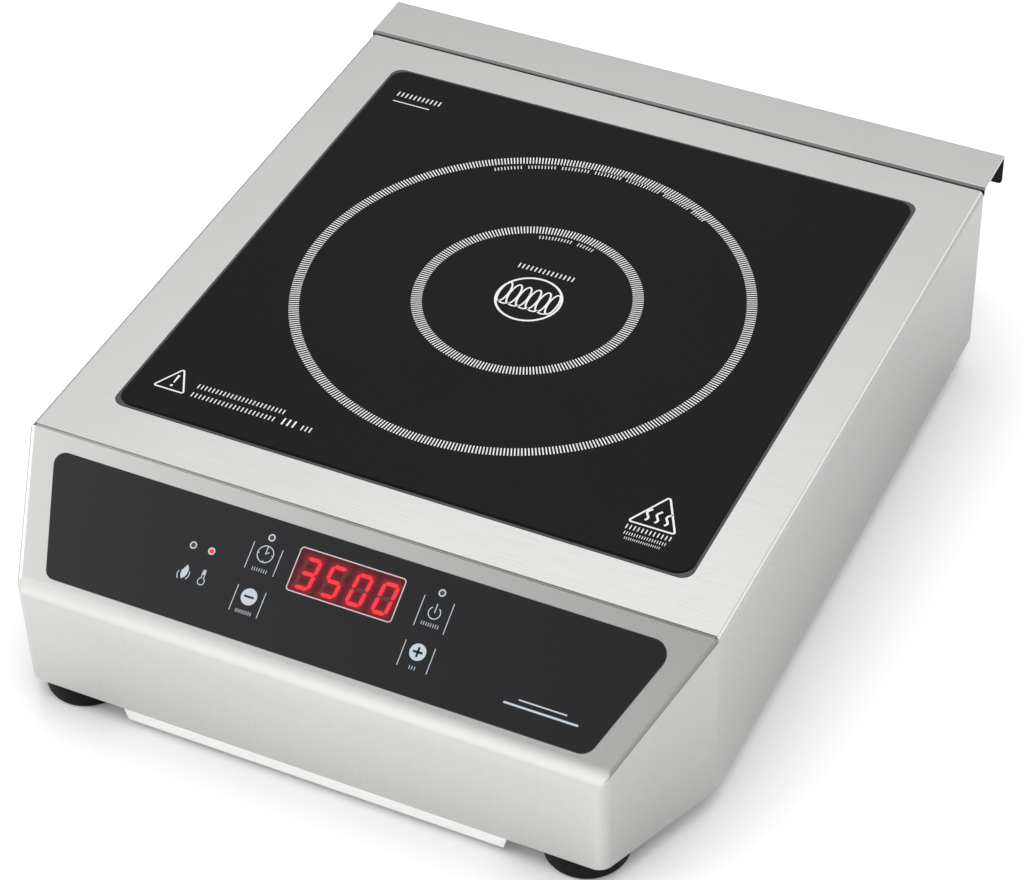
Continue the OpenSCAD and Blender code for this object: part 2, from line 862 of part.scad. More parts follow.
module fan_rotor(x) {
    low = 4;
    high = fan_h - 1;
    translate([x, fan_y, z_low]) {
        difference() {
            translate([0, 0, low]) cylinder(h = high - low, r = fan_hub);
            translate([0, 0, low - 1]) cylinder(h = high - low - 1, r = fan_hub - 1.5);
        }
        translate([0, 0, 1.5]) cylinder(h = high - 2, r = shaft_r);
        for (i = [0:fan_blades - 1]) rotate([0, 0, i * 360 / fan_blades]) intersection() {
            translate([fan_hub - 1, 0, (low + high) / 2]) rotate([48, 0, 0])
                translate([0, -12, -0.8]) cube([fan_bore, 24, 1.6]);
            translate([0, 0, low + 0.5]) cylinder(h = high - low - 1, r = fan_bore - 1.2);
        }
    }
}

module fan_rotor_left() { color("#26262a") fan_rotor(-fan_x); }
module fan_rotor_right() { color("#26262a") fan_rotor(fan_x); }

module fan_screws() {
    color("#c8c8c8") for (fx = [-fan_x, fan_x], x = [-fan_hole, fan_hole], y = [-fan_hole, fan_hole])
        translate([fx + x, fan_y + y, z_base]) screw(3, 1.8, 1.5, 9);
}

// ---------- feet and fixings ----------

module feet() {
    recess_r = 6;
    recess_h = 5.5;
    outline = [[0, 0], [foot_r - 1, 0], [foot_r, foot_h], [0, foot_h]];
    color("#202020") for (p = feet_at) translate([p[0], p[1], 0]) difference() {
        rotate_extrude() polygon(rounded(outline, [0, 1.5, 0, 0]));
        translate([0, 0, -1]) cylinder(h = recess_h + 1, r = recess_r);
        cylinder(h = foot_h + 1, r = screw_r + 0.2);
    }
}

module foot_screws() {
    color("#c8c8c8") for (p = feet_at) {
        translate([p[0], p[1], 5.5]) screw(4.2, 2.8, screw_r, 12);
        translate([p[0], p[1], z_low]) difference() {
            cylinder(h = 3.2, r = 4, $fn = 6);
            translate([0, 0, -1]) cylinder(h = 5, r = screw_r);
        }
    }
}

module base_screws() {
    color("#c8c8c8") for (p = base_screws_at)
        translate([p[0], p[1], z_base]) screw(3.8, 2.4, screw_r - 0.05, 5);
}

module rear_screws() {
    color("#c8c8c8") {
        for (p = rear_screws_at) translate([p[0], y_back, p[1]]) rotate([90, 0, 0])
            screw(3.8, 2.4, screw_r - 0.05, 5);
        for (x = tabs_x) translate([x, y_back + deflector_gap + sheet_t, tab_z]) rotate([90, 0, 0])
            screw(3.8, 2.4, screw_r - 0.05, 6);
    }
}

// ---------- filter tray ----------

module filter_tray() {
    t = sheet_t;
    half = tray_w / 2;
    y0 = tray_y[0];
    y1 = tray_y[1];
    mesh_low = fan_y - 48;
    color("#e6e6e4") {
        difference() {
            span([-half, y0, tray_z], [half, y1, tray_flange_z + 1]);
            span([-half + t, y0 + t, tray_z + t], [half - t, y1 - t, 20]);
            span([-half + 12, mesh_low + 6, 0], [half - 12, y1 - 10, 20]);
            span([-half + t, y1 - 5, tray_z + 3.5], [half - t, y1 + 5, 20]);
        }
        for (s = [-1, 1]) span([s * (half + 2) - 2 - eps, y0 + t, tray_flange_z],
            [s * (half + 2) + 2 + eps, y1, tray_flange_z + 1]);
        // Front plate with ends that lean outwards
        along_y(y0, y0 + t) polygon([
            [-tray_front_w / 2 + 2, tray_z - 0.8], [tray_front_w / 2 - 2, tray_z - 0.8],
            [tray_front_w / 2, z_base - 0.6], [-tray_front_w / 2, z_base - 0.6]]);
    }
}

module filter_mesh() {
    half = tray_w / 2 - 3;
    y0 = fan_y - 46;
    y1 = tray_y[1] - 3;
    z = tray_z + sheet_t;
    wire = 1;
    pitch = 10;
    color("#9a9c9e") {
        translate([0, 0, z]) linear_extrude(2) difference() {
            translate([-half, y0]) square([2 * half, y1 - y0]);
            translate([-half + 5, y0 + 5]) square([2 * half - 10, y1 - y0 - 10]);
        }
        translate([0, 0, z + 0.5]) linear_extrude(wire) {
            for (x = [-half + pitch:pitch:half - pitch])
                translate([x - wire / 2, y0 + 1]) square([wire, y1 - y0 - 2]);
            for (y = [y0 + pitch:pitch:y1 - pitch])
                translate([-half + 1, y - wire / 2]) square([2 * half - 2, wire]);
        }
    }
}

// Channels under the base plate that carry the tray's side flanges
module tray_rails() {
    t = sheet_t;
    x0 = tray_w / 2;
    color("#bdbdbb") for (s = [0, 1]) mirror([s, 0, 0]) along_y(tray_y[0] + 8, tray_y[1] + 6) {
        translate([x0 + 1, z_base - t]) square([9, t]);
        translate([x0 + 6, tray_flange_z - 1.05 - t / 2]) square([t, z_base - tray_flange_z + 1.05 + t / 2]);
        translate([x0 + 1, tray_flange_z - 0.05 - t]) square([6, t]);
    }
}

// ---------- power cord ----------

module strain_relief() {
    color("#1a1a1a") translate([-cord_x, 0, cord_z]) difference() {
        union() {
            along_y_round(y_back - 5, y_back, 7.8);
            along_y_round(y_back, y_back + 6, 11);
            along_y_round(y_back + 6, y_back + 20, 7);
            along_y_round(y_back - 6, y_back - sheet_t, 11);
        }
        along_y_round(y_back - 10, y_back + 30, cord_d / 2 + 0.05);
    }
}

module along_y_round(y0, y1, r) {
    translate([0, y0, 0]) rotate([-90, 0, 0]) cylinder(h = y1 - y0, r = r);
}

// One flat loop of the hank
module cord_loop(r, z) {
    translate([hank_at[0], hank_at[1], z]) {
        for (s = [0, 1]) mirror([s, 0, 0]) translate([hank_half, 0, 0]) rotate([0, 0, -90])
            rotate_extrude(angle = 180) translate([r, 0]) circle(cord_d / 2);
        for (y = [-r, r]) translate([-hank_half, y, 0]) rotate([0, 90, 0])
            cylinder(h = 2 * hank_half, r = cord_d / 2);
    }
}

// The cord leaves the rear, bends down onto a tied hank and ends in the plug
module power_cord() {
    r = cord_d / 2;
    bend = 12;
    y_drop = hank_at[1] - bend;
    tail_x = hank_at[0] + hank_half + hank_radii[1] + r + 1;
    color("#1d1d1f") {
        translate([-cord_x, 0, cord_z]) along_y_round(112, y_drop, r);
        translate([-cord_x, y_drop, cord_z - bend]) rotate([90, 0, 90])
            rotate_extrude(angle = 90) translate([bend, 0]) circle(r);
        translate([-cord_x, hank_at[1], hank_top + 0.5]) cylinder(h = cord_z - bend - hank_top - 0.5, r = r);
        for (i = [0, 1], j = [0, 1]) cord_loop(hank_radii[i], hank_low + r + j * (cord_d + 0.2));
        translate([tail_x, hank_at[1], plug_z])
            rotate([0, 90, 0]) cylinder(h = plug_x + 11 - tail_x, r = r);
        for (i = [-1:1]) cord_core(i);
    }
}

// One of the three cores, from the end of the sheath to the terminal block
module cord_core(i) {
    y = 114 + i * 4;
    z = z_parts + 7;
    x = -81 + i * 11;
    wire_r = 1.4;
    translate([-cord_x, y, cord_z]) sphere(wire_r);
    translate([-cord_x, y, z]) cylinder(h = cord_z - z, r = wire_r);
    translate([-cord_x, y, z]) sphere(wire_r);
    translate([-cord_x, y, z]) rotate([0, 90, 0]) cylinder(h = x + cord_x, r = wire_r);
    translate([x, y, z]) sphere(wire_r);
    translate([x, 92, z]) rotate([-90, 0, 0]) cylinder(h = y - 92, r = wire_r);
}

// Strap round the middle of the hank
module cord_tie() {
    y = hank_radii[1] + tie_reach;
    t = 0.9;
    color("#303030") translate([hank_at[0], hank_at[1], 0]) difference() {
        span([-6, -y, 0], [6, y, hank_top + 1]);
        span([-7, t - y, t], [7, y - t, hank_top + 0.1]);
    }
}

module plug_at() {
    translate([plug_x, hank_at[1], plug_z]) rotate([0, 90, 0]) children();
}

module plug_body() {
    color("#1d1d1f") plug_at() difference() {
        union() {
            cylinder(h = 16, r1 = 7, r2 = 9);
            translate([0, 0, 16]) cylinder(h = 22, r = 18.5);
        }
        translate([0, 0, -1]) cylinder(h = 13, r = cord_d / 2 + 0.05);
        for (y = [-9.5, 9.5]) translate([0, y, 30]) cylinder(h = 20, r = 2.4);
    }
}

module plug_pins() {
    color("#d4d4d0") plug_at() for (y = [-9.5, 9.5]) translate([0, y, 30]) cylinder(h = 27, r = 2.4);
}

housing();
console_panel();
rear_panel();
rear_deflector();
base_plate();
glass_plate();
glass_seal();
glass_frame();
control_overlay();
display_lens();
indicator_lenses();
key_timer();
key_down();
key_on_off();
key_up();
control_board();
control_spacers();
tact_switches();
display_module();
display_segments();
indicator_leds();
buzzer();
ribbon_cable();
coil_winding();
coil_former();
ferrite_bars();
mica_sheet();
coil_bracket();
coil_pillars();
coil_screws();
sensor_holder();
temperature_sensor();
coil_leads();
main_board();
board_standoffs();
heat_sink();
power_transistors();
bridge_rectifier();
film_capacitors();
filter_choke();
fuse();
terminal_block();
earth_lead();
fan_frames();
fan_rotor_left();
fan_rotor_right();
fan_screws();
feet();
foot_screws();
base_screws();
rear_screws();
filter_tray();
filter_mesh();
tray_rails();
strain_relief();
power_cord();
cord_tie();
plug_body();
plug_pins();
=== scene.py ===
"""Countertop induction hob: looks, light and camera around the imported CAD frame."""

import math

import bmesh
import bpy
from mathutils import Matrix, Vector


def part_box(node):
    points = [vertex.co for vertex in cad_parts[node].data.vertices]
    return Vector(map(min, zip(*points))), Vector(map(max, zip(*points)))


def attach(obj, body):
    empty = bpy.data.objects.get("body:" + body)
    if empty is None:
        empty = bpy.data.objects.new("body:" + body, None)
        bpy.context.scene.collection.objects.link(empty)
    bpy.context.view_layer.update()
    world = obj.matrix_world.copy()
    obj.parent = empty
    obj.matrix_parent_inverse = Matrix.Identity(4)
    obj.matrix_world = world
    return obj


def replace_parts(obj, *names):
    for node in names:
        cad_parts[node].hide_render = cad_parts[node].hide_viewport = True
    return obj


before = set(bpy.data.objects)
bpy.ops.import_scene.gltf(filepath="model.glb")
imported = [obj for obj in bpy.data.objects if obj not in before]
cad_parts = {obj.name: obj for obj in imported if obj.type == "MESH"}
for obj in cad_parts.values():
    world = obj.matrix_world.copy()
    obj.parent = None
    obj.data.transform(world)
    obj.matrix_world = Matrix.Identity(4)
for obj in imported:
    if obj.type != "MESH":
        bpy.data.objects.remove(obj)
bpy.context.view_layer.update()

MM = 0.001
ARC_STEPS = 12
BODY = "hob"


# ---------- sizes in millimetres ----------

def box_mm(node):
    low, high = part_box(node)
    return low / MM, high / MM


housing_low, housing_high = box_mm("housing")
console_low, _ = box_mm("console_panel")
glass_low, glass_high = box_mm("glass_plate")
seal_low, seal_high = box_mm("glass_seal")

X_SIDE = housing_high.x
Y_BACK = housing_high.y
Z_TOP = housing_high.z
Z_LOW = housing_low.z
Y_FRONT = console_low.y
CONSOLE_D = 62.0
CONSOLE_FRONT_H = 53.6
CONSOLE_INSET = 25.5
SHEET_T = 1.0
SEAM_W = 0.5
OPENING_W = 280.0
OPENING_R = 6.0
GLASS_R = 8.0
Y_BEND = Y_FRONT + CONSOLE_D
Z_CREASE = Z_LOW + CONSOLE_FRONT_H
X_FRONT = X_SIDE - CONSOLE_INSET
SLOPE = math.atan2(Z_TOP - Z_CREASE, CONSOLE_D)
GLASS_W = glass_high.x - glass_low.x
OVERLAY_T = 0.5
PRINT_T = 0.03

ON_SLOPE = Matrix.Translation(Vector((0, Y_BEND, Z_TOP)) * MM) @ Matrix.Rotation(SLOPE, 4, "X")


def at_height(z):
    return Matrix.Translation(Vector((0, 0, z)) * MM)


ON_GLASS = at_height(glass_high.z)


def on_slope(x, s):
    """Frame on the slope at x to the right and s down it"""
    return ON_SLOPE @ Matrix.Translation(Vector((x, -s, 0)) * MM)


# ---------- materials ----------

# A mix node's colour inputs and output, which share their names with its number sockets
MIX_A = 6
MIX_B = 7
MIX_RESULT = 2
# How far a surface turns towards a direction before painted shade starts on it, and where the painted shade
# is full
FACING = (0.35, 0.95)


def feed(socket, value):
    """Links a socket to another one, or sets it to a plain value"""
    if hasattr(value, "is_linked"):
        socket.id_data.links.new(value, socket)
    else:
        socket.default_value = value


def math_node(tree, operation, *values):
    node = tree.nodes.new("ShaderNodeMath")
    node.operation = operation
    for socket, value in zip(node.inputs, values):
        feed(socket, value)
    return node.outputs[0]


class Shader:
    """A Principled material with procedural detail in the object's own coordinates"""

    def __init__(self, name, colour, roughness, metallic=0.0, specular=0.5):
        self.material = bpy.data.materials.new(name)
        self.material.use_nodes = True
        self.material.diffuse_color = (*colour, 1.0)
        self.tree = self.material.node_tree
        self.bsdf = self.tree.nodes["Principled BSDF"]
        self.colour = colour
        self.roughness = roughness
        values = {"Base Color": (*colour, 1.0), "Roughness": roughness,
                  "Metallic": metallic, "Specular IOR Level": specular}
        for name, value in values.items():
            self.set(self.bsdf, name, value)
        self.place = self.node("TexCoord").outputs["Object"]

    def node(self, kind):
        return self.tree.nodes.new("ShaderNode" + kind)

    def set(self, node, name, value):
        feed(node.inputs[name], value)

    def noise(self, scale, detail=2.0, stretch=(1.0, 1.0, 1.0)):
        """Noise whose features are 1 / scale metres wide, stretched per axis"""
        mapping = self.node("Mapping")
        self.set(mapping, "Vector", self.place)
        self.set(mapping, "Scale", tuple(scale * s for s in stretch))
        noise = self.node("TexNoise")
        self.set(noise, "Vector", mapping.outputs["Vector"])
        self.set(noise, "Scale", 1.0)
        self.set(noise, "Detail", detail)
        return noise.outputs["Fac"]

    def remap(self, value, low, high, source=(0.3, 0.7)):
        node = self.node("MapRange")
        self.set(node, "Value", value)
        for name, number in zip(("From Min", "From Max", "To Min", "To Max"), (*source, low, high)):
            self.set(node, name, number)
        return node.outputs["Result"]

    def mix_colour(self, factor, a, b, blend="MIX"):
        """Base colour goes from a to b, or to the blend of both, as factor rises"""
        mix = self.node("Mix")
        mix.data_type = "RGBA"
        mix.blend_type = blend
        self.set(mix, "Factor", factor)
        self.set(mix, MIX_A, a)
        self.set(mix, MIX_B, b)
        self.set(self.bsdf, "Base Color", mix.outputs[MIX_RESULT])

    def vary_colour(self, value, spread):
        """Base colour goes from darker to lighter by spread as value rises"""
        shares = (1 - spread, 1 + spread)
        darker, lighter = [(*[min(1.0, c * share) for c in self.colour], 1.0) for share in shares]
        self.mix_colour(value, darker, lighter)

    def part_of(self, vector, axis):
        split = self.node("SeparateXYZ")
        feed(split.inputs[0], vector)
        return split.outputs[axis]

    def normal_part(self, axis):
        return self.part_of(self.node("TexCoord").outputs["Normal"], axis)

    def paint_shade(self, facing, share):
        """Painted shade: takes only a share of the colour where facing, a normal's part, is close to one"""
        colour = self.bsdf.inputs["Base Color"].links[0].from_socket
        self.mix_colour(self.remap(facing, 0.0, 1.0, FACING), colour, share, "MULTIPLY")

    def paint_side_shade(self, front_share, rear_share):
        """Painted shade on the side walls, for how the light falls on them: darker from the front share to
        the rear share
        """
        facing = math_node(self.tree, "ABSOLUTE", self.normal_part("X"))
        reach = (Y_BEND * MM, Y_BACK * MM)
        self.paint_shade(facing, self.remap(self.part_of(self.place, "Y"), front_share, rear_share, reach))

    def paint_front_shade(self, share):
        """Painted shade on surfaces that look to the front, for how the light falls on them"""
        facing = math_node(self.tree, "MULTIPLY", self.normal_part("Y"), -1.0)
        self.paint_shade(facing, (share, share, share, 1.0))

    def vary_roughness(self, value, spread):
        low, high = self.roughness - spread, self.roughness + spread
        self.set(self.bsdf, "Roughness", self.remap(value, low, high))

    def bump(self, height, depth_mm, strength=1.0):
        node = self.node("Bump")
        self.set(node, "Height", height)
        self.set(node, "Distance", depth_mm * MM)
        self.set(node, "Strength", strength)
        self.set(self.bsdf, "Normal", node.outputs["Normal"])

    def texture(self, fine, broad, spread, roughness_spread, depth_mm, details=(2.0, 2.0)):
        """Colour varies with broad noise, roughness and bump with fine noise, by their scales"""
        fine_noise = self.noise(fine, details[0])
        self.vary_colour(self.noise(broad, details[1]), spread)
        self.vary_roughness(fine_noise, roughness_spread)
        self.bump(fine_noise, depth_mm)
        return self.material


# Noise scales of brushed steel, and the share of a scale that is left along the grain
SCRATCHES = 3200
STREAKS = 420
CLOUDS = 14
GRAIN_SHARE = 0.012


def brushed_steel(name, colour, roughness, grain, depth_mm=0.0012, sides=(1.0, 1.0), front=1.0):
    """Steel brushed along the grain axis, with painted shade on its sides and front, which take a share of
    its colour
    """
    shader = Shader(name, colour, roughness, metallic=1.0)
    stretch = [GRAIN_SHARE if axis == grain else 1.0 for axis in "XYZ"]
    scratches = shader.noise(SCRATCHES, 3.0, stretch)
    streaks = shader.remap(shader.noise(STREAKS, 2.0, stretch), -0.08, 0.12)
    shader.vary_colour(math_node(shader.tree, "ADD", streaks, shader.noise(CLOUDS)), spread=0.022)
    # Painted shade on the side walls and on faces that look to the front
    shader.paint_side_shade(*sides)
    shader.paint_front_shade(front)
    shader.vary_roughness(scratches, 0.04)
    shader.bump(scratches, depth_mm)
    return shader.material


def moulded(name, colour, roughness, texture=1500, depth_mm=0.02, specular=0.5, spread=0.12):
    """Plastic or rubber with a fine moulded texture"""
    shader = Shader(name, colour, roughness, specular=specular)
    return shader.texture(texture, texture / 20, spread, 0.08, depth_mm, (2.0, 3.0))


def metal(name, colour, roughness, texture=800, depth_mm=0.01):
    shader = Shader(name, colour, roughness, metallic=1.0)
    return shader.texture(texture, texture / 15, 0.08, 0.07, depth_mm, (3.0, 2.0))


def glowing(name, colour, strength):
    shader = Shader(name, [0.3 * c for c in colour], 0.4, specular=0.1)
    uneven = shader.remap(shader.noise(900, 1.0), strength * 0.85, strength * 1.15)
    shader.set(shader.bsdf, "Emission Color", (*colour, 1.0))
    shader.set(shader.bsdf, "Emission Strength", uneven)
    return shader.material


# Painted shade: the housing's side walls take 0.75 of the steel colour at the front down to 0.58 at the
# rear, the console's sides 0.64 and its faces that look to the front 0.78
STEEL = brushed_steel("steel_top", (0.61, 0.61, 0.60), 0.27, "X", 0.0006, sides=(0.75, 0.58))
STEEL_CONSOLE = brushed_steel("steel_console", (0.72, 0.715, 0.70), 0.24, "Z", 0.0005,
                              sides=(0.64, 0.64), front=0.78)
STEEL_REAR = brushed_steel("steel_rear", (0.6, 0.6, 0.59), 0.36, "Z")
# Painted shadow: faces of the deflector that look to the front are made nearly black, 0.05 of the colour,
# in place of the dark shadow gap under its front edge
STEEL_STRIP = brushed_steel("steel_strip", (0.585, 0.585, 0.575), 0.3, "X", 0.0006, front=0.05)
STEEL_BASE = brushed_steel("steel_base", (0.74, 0.74, 0.73), 0.42, "Y")
STEEL_TRAY = brushed_steel("steel_tray", (0.96, 0.96, 0.95), 0.5, "X")
STEEL_DULL = brushed_steel("steel_dull", (0.6, 0.6, 0.59), 0.45, "X")
SCREW_ZINC = metal("screw_zinc", (0.62, 0.62, 0.62), 0.32)
BLACK_RUBBER = moulded("black_rubber", (0.004, 0.004, 0.004), 0.6, 900, 0.03, 0.1)
BLACK_PLASTIC = moulded("black_plastic", (0.02, 0.02, 0.022), 0.5, 1800, 0.015)
WHITE_NYLON = moulded("white_nylon", (0.72, 0.72, 0.68), 0.5)
SEAL = moulded("seal_silicone", (0.05, 0.05, 0.05), 0.55, 1200, 0.015, 0.3)
BOARD = moulded("circuit_board", (0.03, 0.15, 0.06), 0.35, 700, 0.02, 0.5, 0.3)
CERAMIC = moulded("dark_ferrite", (0.03, 0.03, 0.032), 0.6, 1500, 0.02)


def black_glass():
    shader = Shader("black_glass", (0.0062, 0.0062, 0.0064), 0.12, specular=0.05)
    shader.vary_colour(shader.noise(6, 2.0), 0.06)
    shader.vary_roughness(shader.noise(40, 2.0), 0.03)
    shader.bump(shader.noise(3, 1.0), 0.02, 0.2)
    return shader.material


def film(name, colour, roughness):
    return Shader(name, colour, roughness, specular=0.45).texture(3500, 9, 0.08, 0.05, 0.004)


def ink(name, colour):
    return Shader(name, colour, 0.55, specular=0.2).texture(2500, 300, 0.05, 0.0, 0.003)


GLASS = black_glass()
FILM = film("overlay_film", (0.0045, 0.0045, 0.0058), 0.16)
GLASS_INK = ink("glass_ink", (0.62, 0.62, 0.62))
PANEL_INK = ink("panel_ink", (0.41, 0.465, 0.52))
LIT_RED = glowing("lit_red", (1.0, 0.04, 0.055), 0.8)


# ---------- outlines ----------

def rounded(points, radii, steps=ARC_STEPS):
    """Outline with each corner rounded by its own radius"""
    result = []
    for i, radius in enumerate(radii):
        a, b, c = (Vector(points[(i + k) % len(points)]) for k in (-1, 0, 1))
        if radius == 0:
            result.append(b)
            continue
        u = (a - b).normalized()
        v = (c - b).normalized()
        half = u.angle(v) / 2
        centre = b + (u + v).normalized() * radius / math.sin(half)
        start = (b + u * radius / math.tan(half) - centre).normalized()
        end = (b + v * radius / math.tan(half) - centre).normalized()
        for k in range(steps + 1):
            result.append(centre + start.slerp(end, k / steps) * radius)
    return result


def rectangle(cx, cy, w, h, radius=0.0):
    points = [(cx - w / 2, cy - h / 2), (cx + w / 2, cy - h / 2),
              (cx + w / 2, cy + h / 2), (cx - w / 2, cy + h / 2)]
    return rounded(points, [radius] * 4)


def circle(cx, cy, radius, steps=40):
    return arc(cx, cy, radius, 0, 360, steps)[:-1]


def arc(cx, cy, radius, start, end, steps=32):
    """Points from the start angle to the end angle, in degrees"""
    angles = [math.radians(start + (end - start) * k / steps) for k in range(steps + 1)]
    return [Vector((cx + radius * math.cos(t), cy + radius * math.sin(t))) for t in angles]


# ---------- building pieces ----------

def new_object(name, data):
    item = bpy.data.objects.new(name, data)
    bpy.context.scene.collection.objects.link(item)
    return item


def add_piece(name, mesh, material, body=BODY):
    piece = new_object(name, mesh)
    piece.data.materials.clear()
    piece.data.materials.append(material)
    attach(piece, body)
    return piece


# Edges that turn by more degrees than this stay sharp
CREASE_ANGLE = 32
WELD_DISTANCE = 1e-6


def mark_creases(mesh, degrees=CREASE_ANGLE):
    """Smooth faces, with sharp edges where the surface turns by more than degrees"""
    bm = bmesh.new()
    bm.from_mesh(mesh)
    for face in bm.faces:
        face.smooth = True
    for edge in bm.edges:
        if len(edge.link_faces) == 2:
            edge.smooth = edge.calc_face_angle() < math.radians(degrees)
    bm.to_mesh(mesh)
    bm.free()


def weighted_normals(piece):
    modifier = piece.modifiers.new("even_shading", "WEIGHTED_NORMAL")
    modifier.keep_sharp = True
    modifier.weight = 80


def evaluated_mesh(item):
    graph = bpy.context.evaluated_depsgraph_get()
    return bpy.data.meshes.new_from_object(item.evaluated_get(graph))


def apply_all(piece):
    """Turns the piece's modifiers into its mesh"""
    mesh = evaluated_mesh(piece)
    piece.modifiers.clear()
    piece.data = mesh


def mesh_from(verts, faces, name="mesh"):
    mesh = bpy.data.meshes.new(name)
    mesh.from_pydata([tuple(v) for v in verts], [], faces)
    mesh.update()
    return mesh


def joined(parts, name="mesh"):
    verts = []
    faces = []
    for part_verts, part_faces in parts:
        base = len(verts)
        verts += part_verts
        faces += [[base + i for i in face] for face in part_faces]
    return mesh_from(verts, faces, name)


def plate(name, loops, place, thickness, edge, material):
    """Flat plate with holes and softened edges, lying on its place's XY plane"""
    curve = bpy.data.curves.new(name, "CURVE")
    curve.dimensions = "2D"
    curve.fill_mode = "BOTH"
    curve.extrude = (thickness / 2 - edge) * MM
    curve.bevel_depth = edge * MM
    curve.bevel_resolution = 2
    curve.offset = -edge * MM
    for loop in loops:
        spline = curve.splines.new("POLY")
        spline.points.add(len(loop) - 1)
        for point, p in zip(spline.points, loop):
            point.co = (p[0] * MM, p[1] * MM, 0, 1)
        spline.use_cyclic_u = True
    draft = new_object(name + "_draft", curve)
    mesh = evaluated_mesh(draft)
    bpy.data.objects.remove(draft)
    mesh.transform(place @ at_height(thickness / 2))
    bm = bmesh.new()
    bm.from_mesh(mesh)
    bmesh.ops.remove_doubles(bm, verts=bm.verts, dist=WELD_DISTANCE)
    bmesh.ops.recalc_face_normals(bm, faces=bm.faces)
    bm.to_mesh(mesh)
    bm.free()
    mark_creases(mesh)
    piece = add_piece(name, mesh, material)
    weighted_normals(piece)
    return piece


# Spacing and width of the ticks that stand in for printed words, as shares of the row's height
TICK_PITCH = 0.66
TICK_W = 0.19
# The least cosine of half a corner's turn for which a printed line is still mitred
MITRE_LIMIT = 0.5


class Print:
    """Flat printed shapes in millimetres, made into one thin raised layer"""

    def __init__(self):
        self.verts = []
        self.faces = []

    def polygon(self, points):
        base = len(self.verts)
        self.verts += [Vector(p[:2]) for p in points]
        self.faces.append(list(range(base, base + len(points))))

    def line(self, points, width, closed=False):
        """Ribbon along points, mitred at its corners"""
        points = [Vector(p) for p in points]
        count = len(points)
        base = len(self.verts)
        for i, p in enumerate(points):
            before = points[i - 1] if closed or i > 0 else p
            after = points[(i + 1) % count] if closed or i < count - 1 else p
            into = (p - before).normalized() if before != p else (after - p).normalized()
            out = (after - p).normalized() if after != p else into
            along = (into + out).normalized()
            side = Vector((-along.y, along.x))
            reach = width / 2 / max(MITRE_LIMIT, along.dot(into))
            self.verts += [p + side * reach, p - side * reach]
        for i in range(count if closed else count - 1):
            j = (i + 1) % count
            self.faces.append([base + 2 * i, base + 2 * i + 1, base + 2 * j + 1, base + 2 * j])

    def bar(self, cx, cy, w, h, degrees=0.0):
        turn = Matrix.Rotation(math.radians(degrees), 2)
        corners = [(-w / 2, -h / 2), (w / 2, -h / 2), (w / 2, h / 2), (-w / 2, h / 2)]
        self.polygon([Vector((cx, cy)) + turn @ Vector(c) for c in corners])

    def ticks(self, x, y, length, height):
        """Row of equal upright ticks in place of a printed word, from x, centred on y"""
        count = max(1, round(length / (height * TICK_PITCH)))
        for i in range(count):
            self.bar(x + (i + 0.5) * length / count, y, height * TICK_W, height)

    def arc_ticks(self, radius, start, end, height):
        """Ticks in place of a word, along an arc about the centre"""
        count = max(1, round(math.radians(start - end) * radius / (height * TICK_PITCH)))
        for i in range(count):
            angle = start + (end - start) * (i + 0.5) / count
            place = Vector((math.cos(math.radians(angle)), math.sin(math.radians(angle)))) * radius
            self.bar(place.x, place.y, height * TICK_W, height, angle - 90)

    def solid(self, name, place, base, thickness):
        """Closed mesh: the shapes as its floor and its top, and walls along their outer edges"""
        count = len(self.verts)
        verts = [place @ (Vector((v.x, v.y, z)) * MM) for z in (base, base + thickness) for v in self.verts]
        tops = [face if self.turns_left(face) else face[::-1] for face in self.faces]
        edges = dict.fromkeys(edge for face in tops for edge in zip(face, face[1:] + face[:1]))
        walls = [[a, b, count + b, count + a] for a, b in edges if (b, a) not in edges]
        floor = [face[::-1] for face in tops]
        roof = [[count + i for i in face] for face in tops]
        return mesh_from(verts, floor + roof + walls, name)

    def build(self, name, place, base, thickness, material, body=BODY):
        return add_piece(name, self.solid(name, place, base, thickness), material, body)

    def turns_left(self, face):
        corners = [self.verts[i] for i in face]
        return sum(a.x * b.y - a.y * b.x for a, b in zip(corners, corners[1:] + corners[:1])) > 0


# ---------- housing and console ----------

# Distance from the widest bend's edge to where its arc starts, and each bend's share of it
BEND_REACH = 7.8
BEND_SHARES = {"crease": 1.0, "corner": 0.6, "roof": 0.42, "weld": 0.13, "wing": 0.13}
FOLD_R = 3.0
FOLD_TURN = 33.0
FOLD_RETURN = Vector((1.0, -0.8))
# A face of a bend goes with the console if its normal is at least this close to the slope's
SLOPE_LIKENESS = 0.76
TOLERANCE = 0.01


